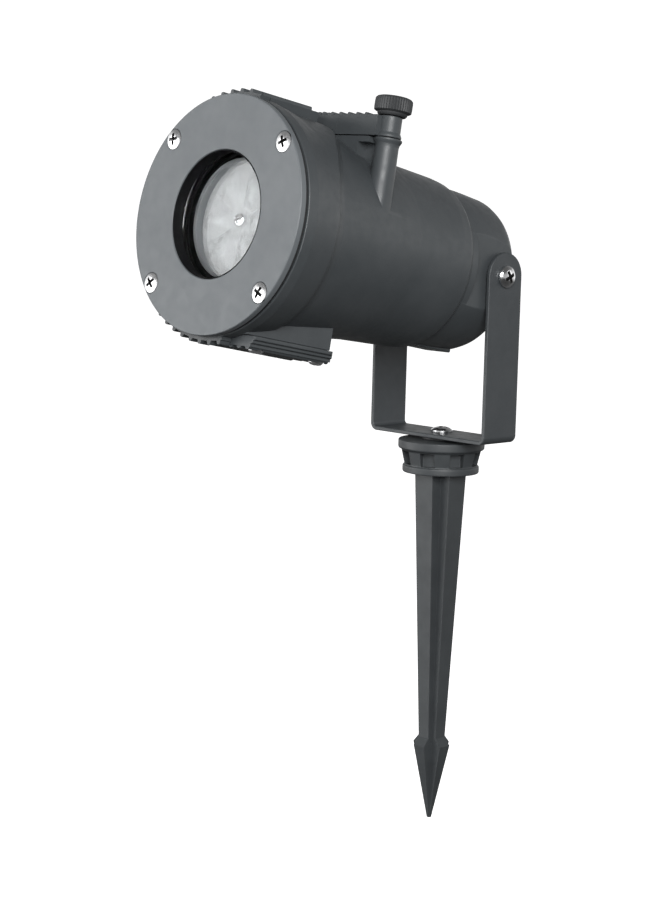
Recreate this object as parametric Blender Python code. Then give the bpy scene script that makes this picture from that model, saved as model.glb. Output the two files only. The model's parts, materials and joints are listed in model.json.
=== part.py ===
"""Garden light projector on a ground stake.

Every piece of the lamp is its own object. Lengths are in millimetres and are
scaled to metres when a mesh is made. The stake stands on the world's Z axis
with the ground at Z = 0. The lamp head is described in its own frame: its
origin is the tilt pivot, +Y runs back along the barrel, +Z is up across it.
"""

import math

import bmesh
import bpy
from mathutils import Matrix, Vector

MM = 0.001
GAP = 0.3                       # air between neighbouring pieces

# ---- driving dimensions -------------------------------------------------
TILT = 10.6                     # lens above the horizontal, degrees
PIVOT_Z = 90.0                  # tilt axis above the ground
FACE_R = 49.4                   # front bezel
FACE_Y = -140.0                 # front of the bezel, from the pivot
WINDOW_R = 25.9                 # opening in the bezel

BEZEL_T = 3.0
GASKET_T = 0.9
BEZEL_BACK = FACE_Y + BEZEL_T
SHELL_FRONT = BEZEL_BACK + 2 * GAP + GASKET_T
FLANGE_BACK = SHELL_FRONT + 5.5
DRUM_BACK = -116.0
NECK_Y = -60.0
SEAM_Y = -24.3                  # rear end of the barrel
BEZEL_SCREW_R = 44.8            # radius of the screw circle
BEZEL_SCREW_SPREAD = 48.0       # screws either side of the vertical, degrees

FLANGE_R = 49.4
BAY_R = 45.0                    # barrel under the side door
NECK_R = 39.2
REAR_R = 38.0
FLANGE_BORE = 41.4
BAY_BORE = 42.6
NECK_BORE = 37.0
REAR_BORE = 35.9

DOOR_FRONT = FLANGE_BACK + 0.4
DOOR_BACK = -78.0
DOOR_TOP = 78.0                 # angle of the door's upper edge
DOOR_FOOT = 262.0               # angle of its lower edge
DOOR_R = 50.8
DOOR_AIR = 0.8                  # between door and barrel
RIB_PITCH = 6.5                 # degrees between ribs
RIB_FIRST = 84.9                # angle of one rib, which sets all the others
RIB_W = 2.2
RIB_H = 1.6

STRIP_END = -102.0              # the door's upper edge stops here, short of the ear
SHOULDER_R = 46.8               # barrel between that end and the ear
EAR_FRONT = -91.0
EAR_PART_Z = 43.0               # parting plane of the two clamp ears
EAR_TOP_Z = 51.7
POST_X = 34.3
POST_Y = -84.0
POST_R = 4.9

HINGE_X = -1.0
HINGE_Z = -49.5
HINGE_PIN_R = 1.2
KNUCKLE_R = 2.6
KNUCKLE_L = 7.9
KNUCKLE_STEP = 8.5
HINGE_FRONT = -127.0
LUG_X = 20.0                    # side face of the hinge lug on the barrel
LUG_Z = -46.0                   # flat seat of the hinge leaf
LUG_BACK = -84.0
LEAF_BACK = -84.2
LEAF_FOOT_Z = -50.8
HINGE_SCREW_X = 17.0
HINGE_SCREW_Y = (-122.0, -88.0)

LENS_RING_R = 27.9
LENS_FRONT = -128.3
LENS_TEETH = 55
PINION_TEETH = 11
LENS_PITCH_R = 27.5
PINION_PITCH_R = LENS_PITCH_R * PINION_TEETH / LENS_TEETH
GEAR_DISTANCE = LENS_PITCH_R + PINION_PITCH_R + 0.3
MOTOR_ANGLE = -45.0

STRIP_W = 21.0                  # bracket strip
STRIP_T = 1.8
YOKE_W = 70.0                   # across the outside of the bracket arms
BEND_R = 3.5
YOKE_BASE_Z = 16.3              # underside of the bracket

STAKE_TOP = 14.9
COLLAR_R = 17.3
FLANGE_TOP_R = 19.5
BLADE_TOP = (1.0, 10.9, 5.4)    # height, fin reach and half thickness
BLADE_FOOT = (-122.5, 5.4, 3.1)
BARB = (-126.0, 8.4, 3.3)
TIP = (-161.0, 0.9, 0.6)

CAP_R = 35.5
CAP_FLAT_X = 31.9               # flats of the rear cap, either side
CAP_COLLAR_Y = -19.5            # the flats start behind this
CAP_FRONT_Y = -37.0
CAP_END_Y = 22.0
CAP_BOSS_R = 22.0               # boss of the cable gland
RING_Y = -27.8                  # O-ring groove
CAP_SCREW_Y = -33.2
CAP_SCREW_ANGLES = (-100.0, 170.0)

WINDOW_HALF = 24.0              # half height of the slide window in the barrel
WINDOW_Y = (-104.0, -93.0)
SLIDE_Y = -99.0


# ---- scene helpers ------------------------------------------------------
def clear_scene():
    for obj in list(bpy.data.objects):
        bpy.data.objects.remove(obj, do_unlink=True)


def material(name, colour, roughness, metallic=0.0, transmission=0.0):
    found = bpy.data.materials.get(name)
    if found:
        return found
    mat = bpy.data.materials.new(name)
    mat.use_nodes = True
    shader = mat.node_tree.nodes["Principled BSDF"]
    shader.inputs["Base Color"].default_value = (*colour, 1.0)
    shader.inputs["Roughness"].default_value = roughness
    shader.inputs["Metallic"].default_value = metallic
    shader.inputs["Transmission Weight"].default_value = transmission
    mat.diffuse_color = (*colour, 1.0)
    return mat


class Body:
    """An empty on a joint's axis, with the point that its pieces' meshes are measured from."""

    def __init__(self, name, parent=None, at=(0, 0, 0), rotation=(0, 0, 0)):
        self.at = Vector(at)
        self.empty = bpy.data.objects.new(name, None)
        bpy.context.collection.objects.link(self.empty)
        self.empty.rotation_euler = rotation
        start = Vector((0, 0, 0))
        if parent:
            self.empty.parent = parent.empty
            start = parent.at
        self.empty.location = (self.at - start) * MM

    def reframed(self):
        """The same empty, for pieces whose meshes are measured from the empty itself."""
        self.at = Vector((0, 0, 0))
        return self


def piece(name, bm, body, mat):
    """Make an object from a mesh in millimetres and hang it on a body."""
    bmesh.ops.recalc_face_normals(bm, faces=bm.faces)
    bmesh.ops.scale(bm, vec=(MM, MM, MM), verts=bm.verts)
    mesh = bpy.data.meshes.new(name)
    bm.to_mesh(mesh)
    bm.free()
    mesh.shade_smooth()
    mesh.set_sharp_from_angle(angle=math.radians(30))
    mesh.materials.append(mat)
    obj = bpy.data.objects.new(name, mesh)
    bpy.context.collection.objects.link(obj)
    obj.parent = body.empty
    obj.location = -body.at * MM
    return obj


def tool(name, bm, body):
    """A hidden solid that another piece is cut by, joined to or trimmed with."""
    obj = piece(name, bm, body, TOOL_MATERIAL)
    obj.hide_render = True
    obj.display_type = "WIRE"
    return obj


def boolean(target, operation, other):
    mod = target.modifiers.new(other.name, "BOOLEAN")
    mod.operation = operation
    mod.object = other
    mod.solver = "EXACT"


# ---- solids -------------------------------------------------------------
AXES = {
    "X": (Vector((0, 1, 0)), Vector((0, 0, 1)), Vector((1, 0, 0))),
    "Y": (Vector((1, 0, 0)), Vector((0, 0, 1)), Vector((0, 1, 0))),
    "Z": (Vector((1, 0, 0)), Vector((0, 1, 0)), Vector((0, 0, 1))),
}


def turned(profile, axis="Y", centre=(0, 0, 0), start=0.0, sweep=360.0, steps=36):
    """Spin a profile of (radius, height) points about an axis; a part turn gets flat ends."""
    across, up, along = AXES[axis]
    spin_axis = across.cross(up)
    bm = bmesh.new()
    first = math.radians(start)
    radial = across * math.cos(first) + up * math.sin(first)
    verts = [bm.verts.new(radial * r + along * h) for r, h in profile]
    edges = [bm.edges.new(pair) for pair in zip(verts, verts[1:])]
    if profile[0][0] > 0 or profile[-1][0] > 0:
        edges.append(bm.edges.new((verts[-1], verts[0])))
    full = sweep >= 360.0
    bmesh.ops.spin(bm, geom=verts + edges, cent=(0, 0, 0), axis=spin_axis,
                   angle=math.radians(sweep), steps=steps, use_merge=full)
    bmesh.ops.remove_doubles(bm, verts=bm.verts, dist=1e-4)
    if not full:
        rim = [e for e in bm.edges if e.is_boundary]
        bmesh.ops.holes_fill(bm, edges=rim, sides=0)
    bmesh.ops.translate(bm, vec=centre, verts=bm.verts)
    return bm


def rod(r, h0, h1, axis="Y", centre=(0, 0, 0), steps=24):
    return turned([(0, h0), (r, h0), (r, h1), (0, h1)], axis, centre, steps=steps)


def tube(r_in, r_out, h0, h1, axis="Y", centre=(0, 0, 0), steps=36):
    return turned([(r_in, h0), (r_out, h0), (r_out, h1), (r_in, h1)], axis, centre, steps=steps)


def block(x, y, z):
    """A box from three (low, high) pairs."""
    bm = bmesh.new()
    size = Matrix.Diagonal((x[1] - x[0], y[1] - y[0], z[1] - z[0], 1.0))
    middle = Matrix.Translation(((x[0] + x[1]) / 2, (y[0] + y[1]) / 2, (z[0] + z[1]) / 2))
    bmesh.ops.create_cube(bm, size=1.0, matrix=middle @ size)
    return bm


def prism(outline, axis, low, high):
    """Extrude a flat outline along an axis. Its points are in the other two axes' order."""
    across, up, along = AXES[axis]
    bm = bmesh.new()
    verts = [bm.verts.new(across * a + up * b + along * low) for a, b in outline]
    face = bm.faces.new(verts)
    grown = bmesh.ops.extrude_face_region(bm, geom=[face])
    moved = [v for v in grown["geom"] if isinstance(v, bmesh.types.BMVert)]
    bmesh.ops.translate(bm, vec=along * (high - low), verts=moved)
    return bm


def merged(*parts):
    """Put several meshes that don't touch, or whose overlap a Boolean removes, in one."""
    result = bmesh.new()
    for part in parts:
        mesh = bpy.data.meshes.new("part")
        part.to_mesh(mesh)
        part.free()
        result.from_mesh(mesh)
        bpy.data.meshes.remove(mesh)
    return result


def arc(cx, cy, r, a0, a1, count):
    """Points of an arc in degrees, both ends included."""
    step = (a1 - a0) / count
    turns = [math.radians(a0 + step * i) for i in range(count + 1)]
    return [(cx + r * math.cos(t), cy + r * math.sin(t)) for t in turns]


def polar(r, degrees):
    turn = math.radians(degrees)
    return r * math.cos(turn), r * math.sin(turn)


def screw_profile(head_r, head_h, shank_r, length, crown):
    """A headed screw from the crown of its head, at negative height, to the tip of its shank."""
    return [(0, -head_h - crown), (head_r * 0.6, -head_h - crown * 0.7), (head_r, -head_h),
            (head_r, 0), (shank_r, 0), (shank_r, length), (0, length)]


def gear_outline(teeth, pitch_r, addendum, dedendum, phase):
    """Straight-sided teeth with running clearance, one of them centred on the phase angle."""
    step = 360.0 / teeth
    points = []
    for i in range(teeth):
        middle = phase + i * step
        points.append(polar(pitch_r - dedendum, middle - step * 0.34))
        points.append(polar(pitch_r + addendum, middle - step * 0.13))
        points.append(polar(pitch_r + addendum, middle + step * 0.13))
        points.append(polar(pitch_r - dedendum, middle + step * 0.34))
    return points


def barrel_r(y, front, back):
    """Radius of the barrel's cone between the drum and the neck."""
    share = (y - DRUM_BACK) / (NECK_Y - DRUM_BACK)
    return front + (back - front) * share


def ribbed_arc(r0, r1, start, end):
    """Outline of a curved wall whose outer side carries evenly pitched ribs."""
    half = math.degrees(RIB_W / 2 / r1)
    first = RIB_FIRST + math.ceil((start + half - RIB_FIRST) / RIB_PITCH) * RIB_PITCH
    count = 1 + int((end - half - first) // RIB_PITCH)
    outer = [polar(r1, start)]
    for i in range(count):
        middle = first + i * RIB_PITCH
        outer.append(polar(r1, middle - half))
        outer.append(polar(r1 + RIB_H, middle - half * 0.55))
        outer.append(polar(r1 + RIB_H, middle + half * 0.55))
        outer.append(polar(r1, middle + half))
    outer.append(polar(r1, end))
    inner = [polar(r0, end + (start - end) * i / 24) for i in range(25)]
    return outer + inner


# ---- stake --------------------------------------------------------------
def blade():
    """A cross-shaped spike: four fins with square grooves between them, and a barb."""
    bm = bmesh.new()
    rings = []
    for z, reach, half in (BLADE_TOP, BLADE_FOOT, BARB, TIP):
        fin = [(half, -half), (reach, -half), (reach, half)]
        turns = [Matrix.Rotation(math.radians(90.0 * i), 2) for i in range(4)]
        section = [turn @ Vector(p) for turn in turns for p in fin]
        rings.append([bm.verts.new((p.x, p.y, z)) for p in section])
    count = len(rings[0])
    for upper, lower in zip(rings, rings[1:]):
        for i in range(count):
            j = (i + 1) % count
            bm.faces.new((upper[i], upper[j], lower[j], lower[i]))
    bm.faces.new(rings[0])
    bm.faces.new(rings[-1])
    return bm


def make_stake(root):
    stake = piece("ground_stake", blade(), root, STAKE_PLASTIC)
    head = turned([(0, 0), (COLLAR_R - 0.6, 0), (COLLAR_R, 0.8), (COLLAR_R, 2.4), (COLLAR_R - 0.7, 3.2),
                   (16.4, 3.4), (18.0, 10.4), (FLANGE_TOP_R - 0.4, 10.9), (FLANGE_TOP_R, 11.6),
                   (FLANGE_TOP_R, 14.3), (FLANGE_TOP_R - 0.6, STAKE_TOP), (0, STAKE_TOP)],
                  axis="Z", steps=40)
    boolean(stake, "UNION", tool("stake_head", head, root))
    recesses = []
    for i in range(8):
        x0, y0 = polar(13.6, i * 45.0 + 22.5)
        turn = Matrix.Rotation(math.radians(i * 45.0 + 22.5), 3, "Z")
        recess = block((0, 8), (-3.4, 3.4), (3.7, 10.0))
        bmesh.ops.rotate(recess, cent=(0, 0, 0), matrix=turn, verts=recess.verts)
        bmesh.ops.translate(recess, vec=(x0, y0, 0), verts=recess.verts)
        recesses.append(recess)
    boolean(stake, "DIFFERENCE", tool("stake_recesses", merged(*recesses), root))
    bore = turned([(0, -7.0), (2.6, -7.0), (2.6, 4.0), (4.0, 4.0), (4.0, STAKE_TOP + 1), (0, STAKE_TOP + 1)],
                  axis="Z", steps=24)
    boolean(stake, "DIFFERENCE", tool("stake_bore", bore, root))

    piece("stake_insert", tube(2.5, 3.7, 4.3, STAKE_TOP - 0.1, "Z", steps=24), root, BRASS)
    piece("swivel_washer", tube(3.0, 9.0, STAKE_TOP + GAP, YOKE_BASE_Z - GAP, "Z"), root, NYLON)
    screw = turned(screw_profile(4.9, 1.2, 2.15, 22.0, 1.1), "Z", steps=24)
    bmesh.ops.scale(screw, vec=(1, 1, -1), verts=screw.verts)
    bmesh.ops.translate(screw, vec=(0, 0, YOKE_BASE_Z + STRIP_T + GAP), verts=screw.verts)
    piece("stake_screw", screw, root, CHROME)


# ---- bracket ------------------------------------------------------------
def make_bracket(bracket):
    half = YOKE_W / 2
    inner_r = BEND_R - STRIP_T
    top = PIVOT_Z + STRIP_W
    base = YOKE_BASE_Z
    outline = [(half, top)]
    outline += arc(half - BEND_R, base + BEND_R, BEND_R, 0, -90, 5)
    outline += arc(-half + BEND_R, base + BEND_R, BEND_R, -90, -180, 5)
    outline += [(-half, top), (-half + STRIP_T, top)]
    outline += arc(-half + BEND_R, base + BEND_R, inner_r, 180, 270, 5)
    outline += arc(half - BEND_R, base + BEND_R, inner_r, -90, 0, 5)
    outline += [(half - STRIP_T, top)]
    yoke = piece("u_bracket", prism(outline, "Y", -STRIP_W, STRIP_W), bracket, BRACKET_PAINT)
    side = arc(0, PIVOT_Z, STRIP_W / 2, 0, 180, 16)
    side += [(-STRIP_W / 2, base - 5), (STRIP_W / 2, base - 5)]
    boolean(yoke, "INTERSECT", tool("bracket_side", prism(side, "X", -half - 5, half + 5), bracket))
    holes = merged(rod(2.6, -half - 5, half + 5, "X", (0, 0, PIVOT_Z)),
                   rod(2.7, base - 5, base + 5, "Z"))
    boolean(yoke, "DIFFERENCE", tool("bracket_holes", holes, bracket))


# ---- head: casings ------------------------------------------------------
def shell_outer():
    return [(0, SHELL_FRONT), (FLANGE_R - 0.4, SHELL_FRONT), (FLANGE_R, SHELL_FRONT + 0.6),
            (FLANGE_R, FLANGE_BACK), (BAY_R, FLANGE_BACK), (BAY_R, DRUM_BACK), (NECK_R, NECK_Y),
            (REAR_R, -31.0), (REAR_R - 0.6, -26.5), (REAR_R - 1.5, SEAM_Y), (0, SEAM_Y)]


def shell_bore():
    return [(0, SHELL_FRONT - 1), (FLANGE_BORE, SHELL_FRONT - 1), (FLANGE_BORE, FLANGE_BACK),
            (BAY_BORE, FLANGE_BACK + 1), (BAY_BORE, DRUM_BACK), (NECK_BORE, NECK_Y),
            (REAR_BORE, -32.0), (REAR_BORE, SEAM_Y + 1), (0, SEAM_Y + 1)]


def flange_ribs():
    """The flange's outer ribs, on the door's side and in line with the door's own."""
    outline = ribbed_arc(FLANGE_R - 2.0, DOOR_R, DOOR_TOP, 360.0 - DOOR_TOP)
    return prism(outline, "Y", SHELL_FRONT + 0.2, FLANGE_BACK)


def drum_skin():
    """The raised smooth drum on the side away from the door."""
    profile = [(FLANGE_BORE + 2, FLANGE_BACK - 0.5), (FLANGE_R, FLANGE_BACK - 0.5),
               (BAY_R + 1.0, DRUM_BACK), (FLANGE_BORE + 2, DRUM_BACK)]
    return turned(profile, start=1.5 - DOOR_TOP, sweep=2 * DOOR_TOP - 3.0, steps=20)


def shoulders():
    """Raised parts of the barrel in front of the ear and behind the door's upper edge."""
    back = EAR_FRONT - 0.6
    parts = []
    for front, end in ((DRUM_BACK - 1.0, DOOR_TOP - 0.8), (STRIP_END + 0.5, 91.0)):
        profile = [(FLANGE_BORE + 2, front), (SHOULDER_R, front), (SHOULDER_R, back), (FLANGE_BORE + 2, back)]
        parts.append(turned(profile, start=62.0, sweep=end - 62.0, steps=8))
    return parts


def clamp_ear():
    """The barrel's ear: a flat plate, the screw post and the web between them and the barrel."""
    top = EAR_PART_Z - 0.2
    plate = block((8.0, POST_X), (EAR_FRONT + 0.4, DOOR_BACK - 0.4), (top - 4.0, top))
    post = turned([(0, 3.0), (POST_R - 0.7, 3.0), (POST_R, top - 4.2), (5.3, top - 4.0), (5.3, top - 1.5),
                   (5.7, top - 1.2), (5.7, top), (0, top)], "Z", (POST_X, POST_Y, 0), steps=24)
    web = prism([(8.0, 36.0), (POST_X - 3.0, 14.0), (POST_X, 14.0), (POST_X, top - 2), (8.0, top - 2)],
                "Y", EAR_FRONT + 1.5, DOOR_BACK - 2.5)
    return plate, post, web


def shell_drillings():
    """Blind holes of the bezel screws, hinge screws, cap screws and the post's insert."""
    drills = [rod(1.95, SHELL_FRONT - 1, SHELL_FRONT + 4.7, "Y", (x, 0, z), 16)
              for x, z in bezel_screw_points()]
    drills += [rod(1.9, LUG_Z - 5.0, LUG_Z + 5.0, "Z", (HINGE_SCREW_X, y, 0), 16) for y in HINGE_SCREW_Y]
    drills.append(rod(3.6, EAR_PART_Z - 9.0, EAR_PART_Z + 2, "Z", (POST_X, POST_Y, 0), 20))
    for angle in CAP_SCREW_ANGLES:
        sink = turned([(0, 34.0), (1.7, 34.0), (1.7, 36.6), (3.4, 38.3), (3.4, 42.0), (0, 42.0)],
                      "Z", (0, CAP_SCREW_Y, 0), steps=16)
        spin_to(sink, angle)
        drills.append(sink)
    return merged(*drills)


def make_shell(head):
    shell = piece("main_housing", turned(shell_outer(), steps=48), head, HOUSING_METAL)
    plate, post, web = clamp_ear()
    shoulder, notch_floor = shoulders()
    lug = block((3.0, LUG_X), (FLANGE_BACK - 1.0, LUG_BACK), (LUG_Z, -34.0))
    for name, bm in (("flange_ribs", flange_ribs()), ("drum_skin", drum_skin()), ("ear_plate", plate),
                     ("ear_post", post), ("ear_web", web), ("shoulder", shoulder),
                     ("notch_floor", notch_floor), ("hinge_lug", lug)):
        boolean(shell, "UNION", tool(name, bm, head))
    seat = block((1.0, 30.0), (FLANGE_BACK, -80.0), (-60.0, LUG_Z))
    window = block((-60.0, 0.0), WINDOW_Y, (-WINDOW_HALF, WINDOW_HALF))
    for name, bm in (("leaf_seat", seat), ("shell_bore", turned(shell_bore(), steps=36)),
                     ("slide_window", window), ("shell_drillings", shell_drillings())):
        boolean(shell, "DIFFERENCE", tool(name, bm, head))
    piece("post_insert", tube(2.3, 3.3, EAR_PART_Z - 8.7, EAR_PART_Z - 0.5, "Z", (POST_X, POST_Y, 0), 20),
          head, BRASS)


def spin_to(bm, degrees):
    """Turn a piece made along +Z about the barrel's axis until it points at an angle."""
    turn = Matrix.Rotation(math.radians(90.0 - degrees), 3, "Y")
    bmesh.ops.rotate(bm, cent=(0, 0, 0), matrix=turn, verts=bm.verts)


def bezel_screw_points():
    angles = [90.0 - BEZEL_SCREW_SPREAD, 90.0 + BEZEL_SCREW_SPREAD,
              270.0 - BEZEL_SCREW_SPREAD, 270.0 + BEZEL_SCREW_SPREAD]
    return [polar(BEZEL_SCREW_R, a) for a in angles]


def make_front(head):
    bezel = piece("front_bezel",
                  turned([(WINDOW_R, FACE_Y + 0.4), (WINDOW_R + 0.4, FACE_Y), (FACE_R - 0.6, FACE_Y),
                          (FACE_R, FACE_Y + 0.6), (FACE_R, BEZEL_BACK), (WINDOW_R, BEZEL_BACK)], steps=48),
                  head, BEZEL_METAL)
    sinks = [turned([(0, FACE_Y - 1), (4.5, FACE_Y - 1), (4.5, FACE_Y + 0.2), (2.3, FACE_Y + 2.4),
                     (2.3, BEZEL_BACK + 1), (0, BEZEL_BACK + 1)], "Y", (x, 0, z), steps=20)
             for x, z in bezel_screw_points()]
    boolean(bezel, "DIFFERENCE", tool("bezel_sinks", merged(*sinks), head))

    gasket = piece("bezel_gasket", tube(FLANGE_BORE + 0.4, FLANGE_R - 0.4, BEZEL_BACK + GAP,
                                        BEZEL_BACK + GAP + GASKET_T, steps=48), head, RUBBER)
    holes = [rod(2.3, BEZEL_BACK - 1, SHELL_FRONT + 1, "Y", (x, 0, z), 16) for x, z in bezel_screw_points()]
    boolean(gasket, "DIFFERENCE", tool("gasket_holes", merged(*holes), head))

    for i, (x, z) in enumerate(bezel_screw_points()):
        screw = turned([(0, FACE_Y - 0.7), (2.4, FACE_Y - 0.5), (4.1, FACE_Y), (1.6, FACE_Y + 2.3),
                        (1.6, SHELL_FRONT + 4.3), (0, SHELL_FRONT + 4.3)], "Y", (x, 0, z), steps=20)
        piece(f"bezel_screw_{i + 1}", screw, head, STEEL)

    piece("window_shroud", tube(WINDOW_R + 0.1, 31.0, BEZEL_BACK + GAP, -131.9), head, BLACK_PLASTIC)
    piece("front_glass", rod(30.6, -131.6, -129.2, steps=36), head, GLASS)
    piece("glass_seal", tube(28.9, 30.8, -128.9, -127.7), head, RUBBER)


def door_solids():
    """The door: ribbed wall, rear end wall, clamp ear with its ribs, screw boss and knuckles."""
    wall_r = BAY_R + DOOR_AIR
    back_r = barrel_r(DOOR_BACK, BAY_R, NECK_R) + DOOR_AIR
    top = EAR_TOP_Z
    foot = EAR_PART_Z + 0.2
    solids = [
        turned([(back_r + 0.25, DOOR_BACK - 2.4), (wall_r + 2.0, DOOR_BACK - 2.4), (wall_r + 2.0, DOOR_BACK - 0.1),
                (back_r, DOOR_BACK - 0.1)], start=DOOR_TOP + 6.0, sweep=DOOR_FOOT - DOOR_TOP - 6.5, steps=32),
        block((7.5, POST_X), (EAR_FRONT, DOOR_BACK + 0.2), (foot, top)),
        prism([(-6.0, foot + 4.0), (8.0, foot + 4.0), (8.0, top), (-6.0, top - 1.2)],
              "Y", EAR_FRONT, DOOR_BACK + 0.2),
        turned([(0, foot), (5.7, foot), (5.7, foot + 1.2), (5.3, foot + 1.5), (5.3, top + 0.4), (0, top + 0.4)],
               "Z", (POST_X, POST_Y, 0), steps=24)]
    for i in range(5):
        x = 5.5 + i * 5.0
        solids.append(block((x - 0.9, x + 0.9), (EAR_FRONT - 0.2, DOOR_BACK + 0.4), (top - 1.0, top + 1.2)))
    for i in (1, 3):
        y = HINGE_FRONT + i * KNUCKLE_STEP
        solids.append(rod(KNUCKLE_R, y, y + KNUCKLE_L, "Y", (HINGE_X, 0, HINGE_Z), 16))
        solids.append(block((-8.6, HINGE_X), (y + 0.1, y + KNUCKLE_L - 0.1), (HINGE_Z - 1.2, HINGE_Z + 1.6)))
    return solids


def make_door(door):
    wall = ribbed_arc(BAY_R + DOOR_AIR, DOOR_R, DOOR_TOP, DOOR_FOOT)
    cover = piece("side_door", prism(wall, "Y", DOOR_FRONT, DOOR_BACK), door, HOUSING_METAL)
    for i, bm in enumerate(door_solids()):
        boolean(cover, "UNION", tool(f"door_solid_{i + 1}", bm, door))
    notch = block((-4.0, 16.0), (STRIP_END, EAR_FRONT - 0.1), (40.0, 60.0))
    boolean(cover, "DIFFERENCE", tool("strip_notch", notch, door))
    holes = merged(rod(2.9, EAR_PART_Z - 5, EAR_TOP_Z + 5, "Z", (POST_X, POST_Y, 0), 20),
                   rod(HINGE_PIN_R + GAP, HINGE_FRONT - 5, LEAF_BACK + 5, "Y", (HINGE_X, 0, HINGE_Z), 16))
    boolean(cover, "DIFFERENCE", tool("door_holes", holes, door))


def make_door_gasket(door):
    """Rubber frame on the inside of the door, around the slide window."""
    front, back = WINDOW_Y[0] - 5.0, WINDOW_Y[1] + 5.0
    front_r = barrel_r(front, BAY_R, NECK_R) + GAP
    back_r = barrel_r(back, BAY_R, NECK_R) + GAP
    wall_r = BAY_R + DOOR_AIR - GAP
    gasket = piece("door_gasket", turned([(front_r, front), (wall_r, front), (wall_r, back), (back_r, back)],
                                         start=138.0, sweep=84.0, steps=14), door, RUBBER)
    middle = block((-60.0, 0.0), (WINDOW_Y[0] - 1.0, WINDOW_Y[1] + 1.0), (-WINDOW_HALF - 2, WINDOW_HALF + 2))
    boolean(gasket, "DIFFERENCE", tool("gasket_middle", middle, door))


def leaf_outline():
    """The hinge leaf end-on: flat on top, stepped at its side, ribbed underneath."""
    top = LUG_Z - GAP
    points = [(2.5, LEAF_FOOT_Z), (2.5, top), (24.0, top), (24.0, top - 2.0), (22.0, top - 2.0),
              (22.0, LEAF_FOOT_Z)]
    for i in range(4):
        x = 19.6 - i * 5.0
        points += [(x + 1.1, LEAF_FOOT_Z), (x + 0.7, LEAF_FOOT_Z - 0.9), (x - 0.7, LEAF_FOOT_Z - 0.9),
                   (x - 1.1, LEAF_FOOT_Z)]
    return points


def make_hinge(head):
    leaf = piece("hinge_leaf", prism(leaf_outline(), "Y", DOOR_FRONT, LEAF_BACK), head, HOUSING_METAL)
    for i in (0, 2, 4):
        y = HINGE_FRONT + i * KNUCKLE_STEP
        knuckle = rod(KNUCKLE_R, y, y + KNUCKLE_L, "Y", (HINGE_X, 0, HINGE_Z), 16)
        strap = block((HINGE_X, 4.0), (y + 0.1, y + KNUCKLE_L - 0.1), (HINGE_Z - 0.3, HINGE_Z + 1.6))
        boolean(leaf, "UNION", tool(f"leaf_knuckle_{i}", knuckle, head))
        boolean(leaf, "UNION", tool(f"leaf_strap_{i}", strap, head))
    holes = [rod(HINGE_PIN_R + GAP, HINGE_FRONT - 5, LEAF_BACK + 5, "Y", (HINGE_X, 0, HINGE_Z), 16)]
    for y in HINGE_SCREW_Y:
        holes.append(turned([(0, -60.0), (3.7, -60.0), (3.7, LEAF_FOOT_Z + 0.2), (1.9, LEAF_FOOT_Z + 0.2),
                             (1.9, -40.0), (0, -40.0)], "Z", (HINGE_SCREW_X, y, 0), steps=20))
    boolean(leaf, "DIFFERENCE", tool("leaf_holes", merged(*holes), head))
    pin = turned([(0, HINGE_FRONT - 1.3), (2.1, HINGE_FRONT - 1.3), (2.1, HINGE_FRONT - GAP),
                  (HINGE_PIN_R, HINGE_FRONT - GAP), (HINGE_PIN_R, LEAF_BACK + 0.6), (0, LEAF_BACK + 0.6)],
                 "Y", (HINGE_X, 0, HINGE_Z), steps=16)
    piece("hinge_pin", pin, head, STEEL)
    for i, y in enumerate(HINGE_SCREW_Y):
        screw = turned(screw_profile(3.1, 1.4, 1.5, 8.2, 0.7), "Z", (HINGE_SCREW_X, y, LEAF_FOOT_Z - 0.1),
                       steps=20)
        piece(f"hinge_screw_{i + 1}", screw, head, STEEL)


def make_thumb_screw(thumb):
    knob_z = EAR_TOP_Z + 1.3
    profile = [(0, EAR_PART_Z + 0.6), (2.0, EAR_PART_Z + 0.6), (2.4, EAR_PART_Z + 1.2), (2.4, knob_z - 0.6),
               (6.5, knob_z - 0.6), (6.7, knob_z + 0.4), (7.8, knob_z + 1.0), (7.8, knob_z + 6.0),
               (7.0, knob_z + 7.0), (0, knob_z + 7.6)]
    piece("thumb_screw", turned(profile, "Z", (POST_X, POST_Y, 0), steps=24), thumb, KNOB_PLASTIC)


# ---- head: optics -------------------------------------------------------
def make_lens_group(lens):
    ring = turned([(0, LENS_FRONT), (LENS_RING_R, LENS_FRONT), (LENS_RING_R, -122.9), (25.5, -122.9),
                   (25.5, -118.6), (0, -118.6)])
    carrier = piece("lens_carrier", ring, lens, LENS_FRAME)
    gear = prism(gear_outline(LENS_TEETH, LENS_PITCH_R, 0.9, 1.0, MOTOR_ANGLE), "Y", -122.4, -118.8)
    boolean(carrier, "UNION", tool("carrier_teeth", gear, lens))
    bore = turned([(0, -130.0), (26.0, -130.0), (26.0, LENS_FRONT + 0.3), (24.6, -125.2), (24.6, -120.2),
                   (22.5, -120.2), (22.5, -116.0), (0, -116.0)])
    boolean(carrier, "DIFFERENCE", tool("carrier_bore", bore, lens))
    disc = piece("multi_lens_disc", rod(24.2, -125.0, -120.5, steps=36), lens, FROSTED)
    boolean(disc, "DIFFERENCE", tool("lens_disc_hole", rod(1.8, -130.0, -115.0, steps=16), lens))
    screw = turned([(0, -127.9), (1.8, -127.6), (2.9, -126.6), (2.9, -125.4), (1.4, -125.4), (1.4, -119.6),
                    (0, -119.6)], steps=20)
    piece("lens_hub_screw", screw, lens, STEEL)


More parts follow.
